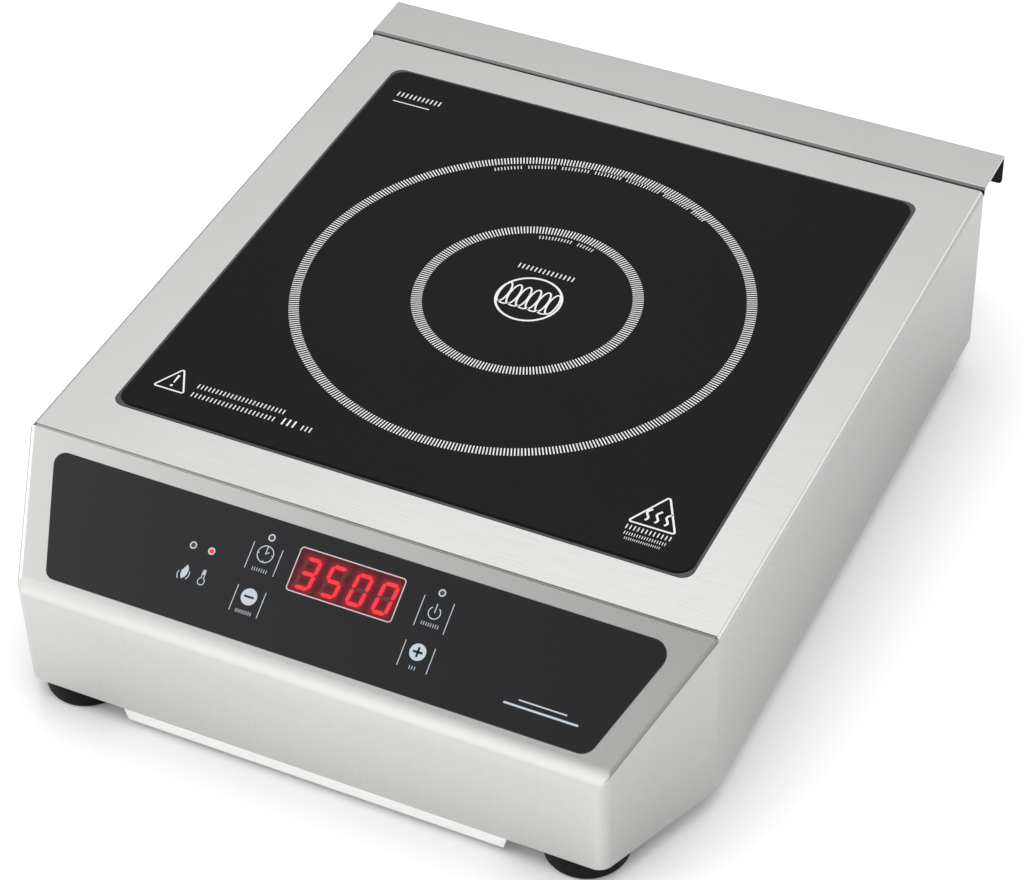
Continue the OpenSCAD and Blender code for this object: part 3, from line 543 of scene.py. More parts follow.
def outer_skin():
    """The outer faces of housing and console in one surface, with every bend rounded"""
    bm = bmesh.new()
    weight = bm.edges.layers.float.new("bevel_weight_edge")
    corners = {}
    for side, tag in ((-1, "l"), (1, "r")):
        for name, x, y, z in (
            ("t0", X_SIDE, Y_BACK, Z_TOP), ("t1", X_SIDE, Y_BEND, Z_TOP),
            ("b0", X_SIDE, Y_BACK, Z_LOW), ("b1", X_SIDE, Y_BEND, Z_LOW),
            ("b2", X_FRONT, Y_FRONT, Z_LOW), ("f", X_FRONT, Y_FRONT, Z_CREASE),
        ):
            corners[name + tag] = bm.verts.new(Vector((side * x, y, z)) * MM)
    for names in (
        ("t1l", "t1r", "t0r", "t0l"), ("fl", "fr", "t1r", "t1l"), ("b2l", "b2r", "fr", "fl"),
        ("b1r", "b0r", "t0r", "t1r"), ("b2r", "b1r", "t1r", "fr"),
        ("b0l", "b1l", "t1l", "t0l"), ("b1l", "b2l", "fl", "t1l"),
    ):
        bm.faces.new([corners[n] for n in names])
    bends = [("fl", "fr", "crease")]
    for tag in "lr":
        bends += [("t0" + tag, "t1" + tag, "roof"), ("t1" + tag, "f" + tag, "weld"),
                  ("t1" + tag, "b1" + tag, "wing"), ("b2" + tag, "f" + tag, "corner")]
    for a, b, kind in bends:
        bm.edges.get((corners[a], corners[b]))[weight] = BEND_SHARES[kind]
    mesh = bpy.data.meshes.new("skin")
    bm.to_mesh(mesh)
    bm.free()
    skin = new_object("skin", mesh)
    bevel = skin.modifiers.new("bends", "BEVEL")
    bevel.limit_method = "WEIGHT"
    bevel.width = BEND_REACH * MM
    bevel.segments = 10
    bevel.use_clamp_overlap = False
    apply_all(skin)
    return skin


def is_console(centre, normal):
    slope_normal = Vector((0, -math.sin(SLOPE), math.cos(SLOPE)))
    if centre.y > (Y_BEND + TOLERANCE) * MM:
        return False
    y_corner = Y_FRONT + BEND_REACH * BEND_SHARES["corner"]
    return normal.dot(slope_normal) > SLOPE_LIKENESS or centre.y < y_corner * MM


def split_skin(skin, keep_console):
    bm = bmesh.new()
    bm.from_mesh(skin.data)
    bm.normal_update()
    away = [f for f in bm.faces if is_console(f.calc_center_median(), f.normal) != keep_console]
    bmesh.ops.delete(bm, geom=away, context="FACES")
    return bm


def open_seam(bm):
    """Draws the console's upper edge back from the bend, so that a seam shows"""
    near_slope = 3.0
    to_slope = ON_SLOPE.inverted()
    for vert in bm.verts:
        local = to_slope @ vert.co
        if -local.y < SEAM_W * MM and abs(local.z) < near_slope * MM:
            local.y = -SEAM_W * MM
            vert.co = ON_SLOPE @ local
    bmesh.ops.remove_doubles(bm, verts=bm.verts, dist=0.03 * MM)
    bmesh.ops.dissolve_degenerate(bm, edges=bm.edges, dist=TOLERANCE * MM)


def fold_front_edge(bm):
    """Rolls the top plate's front edge down and back under, so that the seam stays dark"""
    def is_front_edge(edge):
        ends = [v.co / MM for v in edge.verts]
        return edge.is_boundary and all(
            abs(e.z - Z_TOP) < TOLERANCE and abs(e.y - Y_BEND) < TOLERANCE for e in ends)

    edge = max((e for e in bm.edges if is_front_edge(e)), key=lambda e: e.calc_length())
    steps = 6
    turns = [math.radians(FOLD_TURN) * (k + 1) / steps for k in range(steps)]
    path = [Vector((-FOLD_R * math.sin(t), FOLD_R * (math.cos(t) - 1))) for t in turns]
    for vert in edge.verts:
        vert.co.y -= path[-1].x * MM
    last = Vector((0, 0))
    for point in path + [path[-1] + FOLD_RETURN]:
        grown = bmesh.ops.extrude_edge_only(bm, edges=[edge])["geom"]
        edge = next(g for g in grown if isinstance(g, bmesh.types.BMEdge))
        low = [g for g in grown if isinstance(g, bmesh.types.BMVert)]
        step = point - last
        bmesh.ops.translate(bm, verts=low, vec=Vector((0, step.x, step.y)) * MM)
        last = point
    bmesh.ops.recalc_face_normals(bm, faces=bm.faces)


def opening_cutter():
    reach = 20
    opening = Print()
    opening.polygon(rectangle(0, 0, OPENING_W, OPENING_W, OPENING_R))
    return new_object("cutter", opening.solid("cutter", Matrix(), Z_TOP - reach, 2 * reach))


def shell_piece(name, bm, cutter, material, nodes):
    mesh = bpy.data.meshes.new(name)
    bm.to_mesh(mesh)
    bm.free()
    piece = add_piece(name, mesh, material)
    thick = piece.modifiers.new("sheet", "SOLIDIFY")
    thick.thickness = SHEET_T * MM
    thick.offset = -1
    cut = piece.modifiers.new("openings", "BOOLEAN")
    cut.object = cutter
    cut.operation = "DIFFERENCE"
    cut.solver = "MANIFOLD"
    apply_all(piece)
    mark_creases(piece.data)
    weighted_normals(piece)
    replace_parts(piece, *nodes)


def make_shells():
    skin = outer_skin()
    cutter = opening_cutter()
    housing = split_skin(skin, False)
    fold_front_edge(housing)
    shell_piece("housing_shell", housing, cutter, STEEL, ["housing"])
    console = split_skin(skin, True)
    open_seam(console)
    shell_piece("console_shell", console, cutter, STEEL_CONSOLE, ["console_panel"])
    bpy.data.objects.remove(skin)
    bpy.data.objects.remove(cutter)


# ---------- glass ----------

GLASS_EDGE = 0.7
SEAL_EDGE = 0.3
SEAL_PROUD = 0.3
SEAL_GAP = 0.1


def make_glass():
    outline = rectangle(0, 0, GLASS_W, GLASS_W, GLASS_R)
    glass_t = glass_high.z - glass_low.z
    glass = plate("cooking_glass", [outline], at_height(glass_low.z), glass_t, GLASS_EDGE, GLASS)
    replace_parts(glass, "glass_plate")
    seal_w = OPENING_W - SEAL_GAP
    loops = [rectangle(0, 0, seal_w, seal_w, OPENING_R), outline]
    seal_t = seal_high.z - seal_low.z + SEAL_PROUD
    seal = plate("glass_seal_bead", loops, at_height(seal_low.z), seal_t, SEAL_EDGE, SEAL)
    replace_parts(seal, "glass_seal")


# Printed rings: centre, inner and outer radius, number of ticks
RINGS = ((-0.6, -0.3, 48.6, 53.7, 216), (-2.4, -1.1, 103.1, 107.9, 432))
RING_TICK_SHARE = 0.38
# Rows of ticks in place of words: left end, middle height, length, height of the ticks
WORD_ROWS = (
    (-15.4, 20.6, 29.5, 3.3), (-129, 119.5, 25, 3.6),
    (-109.5, -115.5, 45, 2.9), (-109.5, -121.5, 43, 2.9), (-64, -121, 8, 4.4), (-54, -121.5, 6, 3.2),
    (102, -121, 22, 2.8), (103, -124.9, 20, 1.8), (104.5, -127.9, 17, 1.4),
)
# Ticks along the rings: radius, first and last angle, height; then the long text's words by their lengths
RING_WORDS = ((45.6, 109.5, 88.5, 2.3), (45.6, 85.5, 73.5, 2.3))
LONG_TEXT = (6, 6, 6, 6, 8, 7, 4)
LONG_TEXT_ARC = (100.2, 125.0, 59.0, 2.4)
LONG_TEXT_GAP = 1.2
# Warning triangles: middle, base, width, height, line
CAUTION = (-120.2, -122.6, 15.5, 14.6, 0.8)
HOT_SURFACE = (112.9, -117.6, 21.8, 20.5, 0.9)


def tick_ring(layer, cx, cy, inner, outer, count):
    half = math.pi / count * RING_TICK_SHARE
    for i in range(count):
        angle = 2 * math.pi * i / count
        layer.polygon([
            (cx + radius * math.cos(angle + turn), cy + radius * math.sin(angle + turn))
            for radius, turn in ((inner, -half), (outer, -half), (outer, half), (inner, half))
        ])


def coil_symbol(cx, cy):
    """Circle with a row of six wire loops and their links in it, each drawn on its own layer"""
    loops = 6
    pitch = 4.9
    wire = 0.85
    ring = Print()
    ring.line(circle(cx, cy, 15.4, 72), 1.1, closed=True)
    ring.build("coil_symbol_ring", ON_GLASS, 0, PRINT_T, GLASS_INK)
    for i in range(loops):
        x = cx - 0.35 + (i - (loops - 1) / 2) * pitch
        ellipse = [(x + 2.2 * math.cos(t), cy + 0.7 + 7.2 * math.sin(t))
                   for t in (2 * math.pi * k / 48 for k in range(48))]
        layer = Print()
        layer.line(ellipse, wire, closed=True)
        if i < loops - 1:
            layer.line(arc(x + pitch / 2, cy - 4.1, 3.2, 215, 325, 10), wire)
        layer.build("coil_symbol_%d" % i, ON_GLASS, 0, PRINT_T * (1.1 + 0.1 * i), GLASS_INK)


def triangle(layer, cx, base_y, width, height, line):
    points = [(cx - width / 2, base_y), (cx + width / 2, base_y), (cx, base_y + height)]
    layer.line(rounded(points, [line] * 3, 4), line, closed=True)


def exclamation_mark(layer, cx, top):
    layer.polygon([(cx - 0.6, top), (cx - 0.3, top - 5.3), (cx + 0.3, top - 5.3), (cx + 0.6, top)])
    layer.polygon(circle(cx, top - 7.3, 0.7, 12))


def heat_waves(layer, cx, low):
    for x in (cx - 4.5, cx, cx + 4.5):
        layer.line([(x + 0.9 * math.sin(k * 0.9), low + k * 0.95) for k in range(9)], 1.0)


def long_text(layer):
    """The text inside the large ring, with a gap between its words"""
    radius, start, end, height = LONG_TEXT_ARC
    step = (start - end - LONG_TEXT_GAP * (len(LONG_TEXT) - 1)) / sum(LONG_TEXT)
    for letters in LONG_TEXT:
        layer.arc_ticks(radius, start, start - letters * step, height)
        start -= letters * step + LONG_TEXT_GAP


def make_glass_print():
    layer = Print()
    for ring in RINGS:
        tick_ring(layer, *ring)
    for row in WORD_ROWS:
        layer.ticks(*row)
    for word in RING_WORDS:
        layer.arc_ticks(*word)
    long_text(layer)
    layer.bar(-118, 113.4, 20, 0.6)
    triangle(layer, *CAUTION)
    exclamation_mark(layer, CAUTION[0], -112.5)
    triangle(layer, *HOT_SURFACE)
    heat_waves(layer, HOT_SURFACE[0], -114.5)
    layer.build("glass_print", ON_GLASS, 0, PRINT_T, GLASS_INK)
    coil_symbol(0.2, -0.5)


# ---------- console overlay, keys and display ----------

LENS = (2.75, 25.9, 49.5, 19.2)
KEY = 13.4
KEYS = {"key_timer": (-36.8, 26.2), "key_down": (-36.5, 45.9),
        "key_on_off": (44.6, 26.6), "key_up": (44.0, 46.0)}
LEDS = {"heating": (-69.6, 29.9), "too_hot": (-60.6, 30.0), "timer": (-36.8, 16.5), "power": (44.7, 16.9)}
LED_R = 1.05
FILM_GAP = 0.02
FILM_EDGE = 0.03
OVERLAY_CORNERS = ((-149, -8), (149, -8), (129, -63.2), (-129, -63.2))
OVERLAY_RADII = (5, 7, 7, 5)
# Upright lines on both sides of each key: place across, and upper and lower end down the slope
KEY_LINES = (
    (-43.6, 20.2, 32.4), (-29.8, 20.2, 32.4), (-43.1, 39.9, 51.7), (-29.8, 39.9, 51.7),
    (37.8, 19.8, 33.6), (51.6, 19.8, 33.6), (37.2, 40.3, 51.8), (50.9, 40.3, 51.8),
)
KEY_LINE_W = 0.36
SIGN_Y = 2.05
SIGN_LINE = 0.42


def make_overlay():
    loops = [rounded(OVERLAY_CORNERS, OVERLAY_RADII),
             rectangle(LENS[0], -LENS[1], LENS[2] + FILM_GAP, LENS[3] + FILM_GAP, 0.8)]
    for x, s in KEYS.values():
        loops.append(rectangle(x, -s, KEY + 2 * FILM_GAP, KEY + 2 * FILM_GAP, 1.52))
    for x, s in LEDS.values():
        loops.append(circle(x, -s, LED_R, 24))
    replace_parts(plate("overlay_sheet", loops, ON_SLOPE, OVERLAY_T, FILM_EDGE, FILM), "control_overlay")


def make_panel_print():
    layer = Print()
    for x, s in LEDS.values():
        layer.line(circle(x, -s, LED_R + 0.32, 32), 0.6, closed=True)
    flame(layer, -68.8, -42.1)
    thermometer(layer, -60.0, -43.9)
    for x, upper, lower in KEY_LINES:
        layer.line([(x, -upper), (x, -lower)], KEY_LINE_W)
    layer.bar(104, -52.5, 34, 0.9)
    layer.bar(104, -49.8, 22, 0.6)
    layer.build("panel_print", ON_SLOPE, OVERLAY_T, PRINT_T, PANEL_INK)
    border = Print()
    border.line(rectangle(LENS[0], -LENS[1], LENS[2] + 0.5, LENS[3] + 0.5, 1.5), 0.5, closed=True)
    border.build("display_border", ON_SLOPE, OVERLAY_T, PRINT_T, ink("border_ink", (0.5, 0.42, 0.43)))


def flame(layer, x, y):
    """Leaf-shaped flame between two curved heat lines"""
    leaf = ((0.3, 3.4), (1.3, 2.2), (1.6, 0.7), (1.2, -1.6),
            (-0.4, -3.3), (-1.4, -1.7), (-1.5, 0.4), (-0.6, 1.9))
    layer.polygon([(x + px, y + py) for px, py in leaf])
    layer.line(arc(x + 0.2, y - 1.4, 3.1, 155, 222, 10), SIGN_LINE)
    layer.line(arc(x - 0.7, y - 0.6, 3.2, -46, 26, 10), SIGN_LINE)


def thermometer(layer, x, y):
    layer.line(arc(x, y, 1.55, 112, 428, 24) + arc(x, y + 4.5, 0.7, 0, 180, 8), 0.4, closed=True)
    layer.polygon(rectangle(x, y + 4.2, 1.8, 2.4, 0.8))


def clock_face():
    layer = Print()
    layer.line(circle(0, SIGN_Y, 3.7, 40), SIGN_LINE, closed=True)
    layer.line([(0, SIGN_Y), (0.1, 5.0)], 0.4)
    layer.line([(0, SIGN_Y), (1.5, 3.3)], 0.4)
    for k in range(4):
        turn = math.radians(90 * k)
        layer.line([(r * math.sin(turn), SIGN_Y + r * math.cos(turn)) for r in (2.9, 3.5)], SIGN_LINE)
    layer.ticks(-3.9, -5.3, 7.8, 1.6)
    return layer


def power_sign():
    layer = Print()
    layer.line(arc(0, 0.6, 2.7, 125, 415, 36), SIGN_LINE)
    layer.line([(0, 0.6), (0, 4.7)], SIGN_LINE)
    layer.ticks(-4.5, -4.85, 8.7, 1.6)
    return layer


def round_field(word_length):
    """Filled circle for a plus or minus, over a short row of ticks"""
    layer = Print()
    layer.polygon(circle(0, SIGN_Y, 3.75, 40))
    layer.ticks(-word_length / 2, -4.95, word_length, 1.6)
    return layer


def make_key_print():
    marks = {"key_timer": clock_face(), "key_on_off": power_sign(),
             "key_down": round_field(8.0), "key_up": round_field(3.6)}
    for key, layer in marks.items():
        x, s = KEYS[key]
        layer.build(key + "_print", on_slope(x, s), OVERLAY_T, PRINT_T, PANEL_INK, key)
    signs = {"key_down": [(4.7, 0.9)], "key_up": [(4.5, 1.0), (1.0, 4.4)]}
    for key, bars in signs.items():
        layer = Print()
        for w, h in bars:
            layer.bar(0, SIGN_Y, w, h)
        x, s = KEYS[key]
        layer.build(key + "_sign", on_slope(x, s), OVERLAY_T + PRINT_T, PRINT_T, FILM, key)


DISPLAY_TEXT = "3500"
DIGIT_H = 14.8
DIGIT_W = 7.9
DIGIT_PITCH = 12.3
DIGIT_SHIFT = Vector((0.5, -0.75))
SEGMENT_W = 1.7
DIGIT_LEAN = math.tan(math.radians(6.5))
SEGMENT_GAP = 0.18
LIT = {"3": "abcdg", "5": "acdfg", "0": "abcdef"}


def segments():
    """Outline of each display segment by its letter, about the digit's centre"""
    w = SEGMENT_W / 2
    dx = (DIGIT_W - SEGMENT_W) / 2
    dy = (DIGIT_H - SEGMENT_W) / 2

    def bar(cx, cy, length, upright=False):
        h = length / 2 - SEGMENT_GAP
        points = [(-h, 0), (-h + w, w), (h - w, w), (h, 0), (h - w, -w), (-h + w, -w)]
        if upright:
            points = [(-y, x) for x, y in points]
        return [(cx + x + DIGIT_LEAN * (cy + y), cy + y) for x, y in points]

    outlines = {letter: bar(0, cy, 2 * dx) for letter, cy in (("a", dy), ("g", 0), ("d", -dy))}
    for letter, side, half in (("f", -1, 1), ("b", 1, 1), ("e", -1, -1), ("c", 1, -1)):
        outlines[letter] = bar(side * dx, half * dy / 2, dy, upright=True)
    return outlines


def make_display():
    lit = Print()
    dim = Print()
    glow_points = []
    for i, character in enumerate(DISPLAY_TEXT):
        place = DIGIT_SHIFT + Vector(((i - (len(DISPLAY_TEXT) - 1) / 2) * DIGIT_PITCH, 0))
        for letter, points in segments().items():
            moved = [place + Vector(p) for p in points]
            target = lit if letter in LIT[character] else dim
            target.polygon(moved)
            if target is lit:
                glow_points.append((moved[0], moved[3]))
        dim.polygon(circle(place.x + DIGIT_W / 2 - 0.1, place.y - DIGIT_H / 2 + 0.4, 0.5, 12))
    window = on_slope(LENS[0], LENS[1])
    lens = glow_sheet(window, glow_points)
    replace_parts(lens, "display_lens")
    lit.build("display_lit", window, OVERLAY_T, PRINT_T, LIT_RED)
    dim_red = Shader("dim_red", (0.10, 0.03, 0.035), 0.4, specular=0.1)
    dim_red = dim_red.texture(2500, 900, 0.15, 0.0, 0.003)
    dim.build("display_dim", window, OVERLAY_T, PRINT_T * 0.7, dim_red)


def distance_to(p, a, b):
    along = b - a
    share = max(0.0, min(1.0, (p - a).dot(along) / along.length_squared))
    return (p - (a + along * share)).length


# Distance from a segment's middle up to which the window glows fully, and over which the glow fades
GLOW_FULL = 0.6
GLOW_FADE = 1.3
NO_GLOW = 9.0


def glow_sheet(place, lines):
    """The display's window, a fine grid that glows red close to the lit segments"""
    columns, rows = 100, 40
    w, h = LENS[2:]
    verts = []
    glow = []
    for layer, z in ((0, OVERLAY_T), (1, 0.0)):
        for j in range(rows + 1):
            for i in range(columns + 1):
                p = Vector((w * (i / columns - 0.5), h * (j / rows - 0.5)))
                verts.append(place @ (Vector((p.x, p.y, z)) * MM))
                near = min(distance_to(p, a, b) for a, b in lines) if layer == 0 else NO_GLOW
                glow.append(math.exp(-max(0.0, near - GLOW_FULL) / GLOW_FADE))
    faces = []
    stride = columns + 1
    back = stride * (rows + 1)
    for j in range(rows):
        for i in range(columns):
            a = j * stride + i
            faces.append([a, a + 1, a + stride + 1, a + stride])
            faces.append([back + a, back + a + stride, back + a + stride + 1, back + a + 1])
    rim = [(i, i + 1) for i in range(columns)]
    rim += [(rows * stride + i + 1, rows * stride + i) for i in range(columns)]
    rim += [((j + 1) * stride, j * stride) for j in range(rows)]
    rim += [(j * stride + columns, (j + 1) * stride + columns) for j in range(rows)]
    faces += [[a, back + a, back + b, b] for a, b in rim]
    mesh = mesh_from(verts, faces, "display_window")
    attribute = mesh.attributes.new("glow", "FLOAT", "POINT")
    attribute.data.foreach_set("value", glow)
    shader = Shader("display_window", (0.045, 0.006, 0.009), 0.3, specular=0.2)
    fine = shader.noise(2500, 2.0)
    shader.vary_colour(fine, 0.1)
    shader.bump(fine, 0.003)
    reader = shader.node("Attribute")
    reader.attribute_name = "glow"
    shader.set(shader.bsdf, "Emission Color", (1.0, 0.03, 0.05, 1.0))
    shader.set(shader.bsdf, "Emission Strength", shader.remap(reader.outputs["Fac"], 0.0, 0.26, (0.0, 1.0)))
    return add_piece("display_window", mesh, shader.material)


def make_indicators():
    dark = film("indicator_dark", (0.03, 0.033, 0.036), 0.3)
    for name, (x, s) in LEDS.items():
        material = LIT_RED if name == "too_hot" else dark
        layer = Print()
        layer.polygon(circle(0, 0, LED_R - 0.05, 32))
        piece = layer.build("indicator_" + name, on_slope(x, s), 0, OVERLAY_T, material)
        if name == "heating":
            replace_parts(piece, "indicator_lenses")


# ---------- feet and cord ----------

def revolved(profile, steps):
    """Closed surface of revolution about Z from [radius, height] points that start and end on the axis"""
    inner = profile[1:-1]
    verts = [Vector((0, 0, profile[0][1])), Vector((0, 0, profile[-1][1]))]
    for r, z in inner:
        for k in range(steps):
            turn = 2 * math.pi * k / steps
            verts.append(Vector((r * math.cos(turn), r * math.sin(turn), z)))
    faces = []
    for k in range(steps):
        after = (k + 1) % steps
        faces.append([0, 2 + after, 2 + k])
        last = 2 + (len(inner) - 1) * steps
        faces.append([1, last + k, last + after])
        for ring in range(len(inner) - 1):
            a = 2 + ring * steps
            faces.append([a + k, a + after, a + steps + after, a + steps + k])
    return verts, faces


FOOT_R = 20.0
FOOT_TAPER = 1.0
RECESS_R = 6.0
RECESS_H = 5.5
FOOT_ROUNDING = (0, 0.6, 0.8, 1.7, 0.6, 0)


def make_feet():
    low, high = box_mm("feet")
    corners = [(0, RECESS_H), (RECESS_R, RECESS_H), (RECESS_R, 0),
               (FOOT_R - FOOT_TAPER, 0), (FOOT_R, high.z), (0, high.z)]
    profile = rounded(corners, FOOT_ROUNDING, 6)
    parts = []
    for x in (low.x + FOOT_R, high.x - FOOT_R):
        for y in (low.y + FOOT_R, high.y - FOOT_R):
            verts, faces = revolved(profile, 64)
            parts.append(([(v + Vector((x, y, 0))) * MM for v in verts], faces))
    mesh = joined(parts, "rubber_feet")
    mark_creases(mesh, 40)
    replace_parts(add_piece("rubber_feet", mesh, BLACK_RUBBER), "feet")


tie_low, tie_high = box_mm("cord_tie")
HANK = (tie_low + tie_high) / 2
HANK_HALF = 70.8
HANK_LEFT = HANK.x - HANK_HALF
HANK_RIGHT = HANK.x + HANK_HALF
CORD_R = 4.5
CORD_IN_Z = 34.0
# Where the cord's sheath begins inside the hob, and where the cord starts to go down behind it
SHEATH_Y = 112.0
CORD_LEVEL_Y = 182.0
CORD_DROP = 36.0
PLUG_Z = 19.0
# Each turn of the cord round the hank: radius of its ends, height and how far its left end is drawn in
CORD_TURNS = ((21.2, 5.5, 0.0), (12.0, 5.5, 0.0), (12.0, 14.7, 0.0), (21.2, 14.7, 9.2))
# Where on the front of the hank each turn goes over into the next
CORD_CHANGES = ((-25.0, -60.0), (10.0, -25.0), (40.0, 10.0))
CORE_R = 1.4
CORE_PITCH = 1.8
CORES = (("brown", (0.13, 0.05, 0.02)), ("blue", (0.03, 0.1, 0.35)), ("green", (0.3, 0.48, 0.04)))
# Where the middle core ends in the terminal block, and the distance between the ends
TERMINAL = Vector((-81.0, 91.0, 28.6))
TERMINAL_PITCH = 11.0


def smooth_step(share):
    share = max(0.0, min(1.0, share))
    return share * share * (3 - 2 * share)


def straight(start, end, step=4.0):
    """Points from start up to but not including end"""
    start, end = Vector(start), Vector(end)
    count = max(1, round((end - start).length / step))
    return [start.lerp(end, k / count) for k in range(count)]


def tube(path, radius, sides=20):
    """Closed round tube along a path of points in millimetres"""
    verts = []
    faces = []
    side = Vector((0, 0, 1))
    for i, point in enumerate(path):
        along = (path[min(i + 1, len(path) - 1)] - path[max(i - 1, 0)]).normalized()
        side = (side - along * side.dot(along)).normalized()
        up = along.cross(side)
        for k in range(sides):
            turn = 2 * math.pi * k / sides
            verts.append((point + (side * math.cos(turn) + up * math.sin(turn)) * radius) * MM)
        if i > 0:
            a = (i - 1) * sides
            for k in range(sides):
                after = (k + 1) % sides
                faces.append([a + k, a + after, a + sides + after, a + sides + k])
    faces.append(list(range(sides))[::-1])
    faces.append(list(range(len(verts) - sides, len(verts))))
    return verts, faces


def cord_way_in():
    """From the terminal block out through the rear wall and down to the first turn"""
    radius, low_z, _ = CORD_TURNS[0]
    x = HANK_LEFT - radius
    flat = straight((x, CORD_LEVEL_Y), (x, HANK.y), 2.0) + arc(HANK_LEFT, HANK.y, radius, 180, 90, 24)
    points = straight((x, SHEATH_Y, CORD_IN_Z), (x, CORD_LEVEL_Y, CORD_IN_Z))
    gone = 0.0
    for i, p in enumerate(flat):
        gone += (p - flat[i - 1]).length if i else 0.0
        share = 0.5 + 0.5 * math.cos(math.pi * min(1.0, gone / CORD_DROP))
        points.append(Vector((p.x, p.y, low_z + (CORD_IN_Z - low_z) * share)))
    return points


def cord_way_out():
    """From the last turn, in an S bend, into the plug"""
    radius, z, _ = CORD_TURNS[-1]
    sway = 20.0
    leave = arc(HANK_RIGHT, HANK.y, radius, 90, 45, 12)
    drop = leave[-1].y - HANK.y - sway * (1 - math.cos(math.radians(45)))
    turn = leave[-1] + Vector((drop, -drop))
    centre = turn + Vector((1, 1)).normalized() * sway
    flat = leave[:-1] + straight(leave[-1], turn, 3.0) + arc(centre.x, centre.y, sway, -135, -90, 10)
    length = flat[-1].x - HANK_RIGHT
    points = [Vector((p.x, p.y, z + (PLUG_Z - z) * smooth_step((p.x - HANK_RIGHT) / length))) for p in flat]
    return points + [points[-1] + Vector((10, 0, 0))]


def cord_path():
    points = cord_way_in()
    for i, (radius, z, pull) in enumerate(CORD_TURNS):
        left = HANK_LEFT + pull
        points += straight((left, HANK.y + radius, z), (HANK_RIGHT, HANK.y + radius, z))[1:]
        if i == len(CORD_TURNS) - 1:
            break
        points += [p.to_3d() + Vector((0, 0, z)) for p in arc(HANK_RIGHT, HANK.y, radius, 90, -90, 40)]
        next_radius, next_z, next_pull = CORD_TURNS[i + 1]
        begin, end = CORD_CHANGES[i]
        for p in straight((HANK_RIGHT, 0, 0), (HANK_LEFT + next_pull, 0, 0), 2.0)[1:]:
            share = smooth_step((begin - p.x) / (begin - end))
            reach = radius + (next_radius - radius) * share
            points.append(Vector((p.x, HANK.y - reach, z + (next_z - z) * share)))
        bend = arc(HANK_LEFT + next_pull, HANK.y, next_radius, 270, 90, 40)
        points += [p.to_3d() + Vector((0, 0, next_z)) for p in bend]
    return points + cord_way_out()


def make_cord():
    sheath = joined([tube(cord_path(), CORD_R)], "cord_sheath")
    mark_creases(sheath, 50)
    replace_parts(add_piece("cord_sheath", sheath, BLACK_RUBBER), "power_cord")
    for i, (name, colour) in zip((-1, 0, 1), CORES):
        x_in = HANK_LEFT - CORD_TURNS[0][0] + CORE_PITCH * i
        x_end = TERMINAL.x + TERMINAL_PITCH * i
        y_turn = 104.0 + 4 * i
        corners = [(x_in, SHEATH_Y + 3, CORD_IN_Z), (x_in, y_turn, CORD_IN_Z),
                   (x_end, y_turn, TERMINAL.z), (x_end, TERMINAL.y, TERMINAL.z)]
        core = joined([tube(rounded(corners, [0, 3, 3, 0], 8), CORE_R, 12)])
        mark_creases(core, 50)
        add_piece("cord_core_" + name, core, moulded("core_" + name, colour, 0.45))


# ---------- CAD nodes that keep their shape ----------

def crease_group():
    """Geometry nodes that weld a CAD mesh and smooth it between creases"""
    group = bpy.data.node_groups.new("crease_shading", "GeometryNodeTree")
    for direction in ("INPUT", "OUTPUT"):
        group.interface.new_socket("Geometry", in_out=direction, socket_type="NodeSocketGeometry")
    nodes = group.nodes
    start = nodes.new("NodeGroupInput")
    end = nodes.new("NodeGroupOutput")
    weld = nodes.new("GeometryNodeMergeByDistance")
    weld.inputs["Distance"].default_value = WELD_DISTANCE
    faces = nodes.new("GeometryNodeSetShadeSmooth")
    edges = nodes.new("GeometryNodeSetShadeSmooth")
    edges.domain = "EDGE"
    angle = nodes.new("GeometryNodeInputMeshEdgeAngle")
    flat = nodes.new("FunctionNodeCompare")
    flat.data_type = "FLOAT"
    flat.operation = "LESS_THAN"
    flat.inputs[1].default_value = math.radians(CREASE_ANGLE)
    feed(flat.inputs[0], angle.outputs["Unsigned Angle"])
    feed(edges.inputs["Shade Smooth"], flat.outputs["Result"])
    chain = (start, weld, faces, edges, end)
    for before, after in zip(chain, chain[1:]):
        feed(after.inputs[0], before.outputs[0])
    return group


COPPER = metal("litz_copper", (0.58, 0.25, 0.12), 0.35, 2500, 0.05)
ALUMINIUM = metal("sheet_aluminium", (0.62, 0.62, 0.63), 0.4)
BRASS = metal("pillar_brass", (0.62, 0.48, 0.18), 0.35)
MICA = moulded("mica_sheet", (0.56, 0.46, 0.26), 0.5, 400, 0.03, 0.5, 0.25)
EARTH = moulded("earth_green", (0.3, 0.48, 0.04), 0.45)
CAPACITOR = moulded("capacitor_red", (0.5, 0.06, 0.04), 0.4)
SLEEVE = moulded("glass_sleeve", (0.75, 0.72, 0.62), 0.7, 1500, 0.1)
GREY_PVC = moulded("ribbon_grey", (0.45, 0.45, 0.43), 0.5)
LED_EPOXY = moulded("led_epoxy", (0.8, 0.8, 0.8), 0.2)

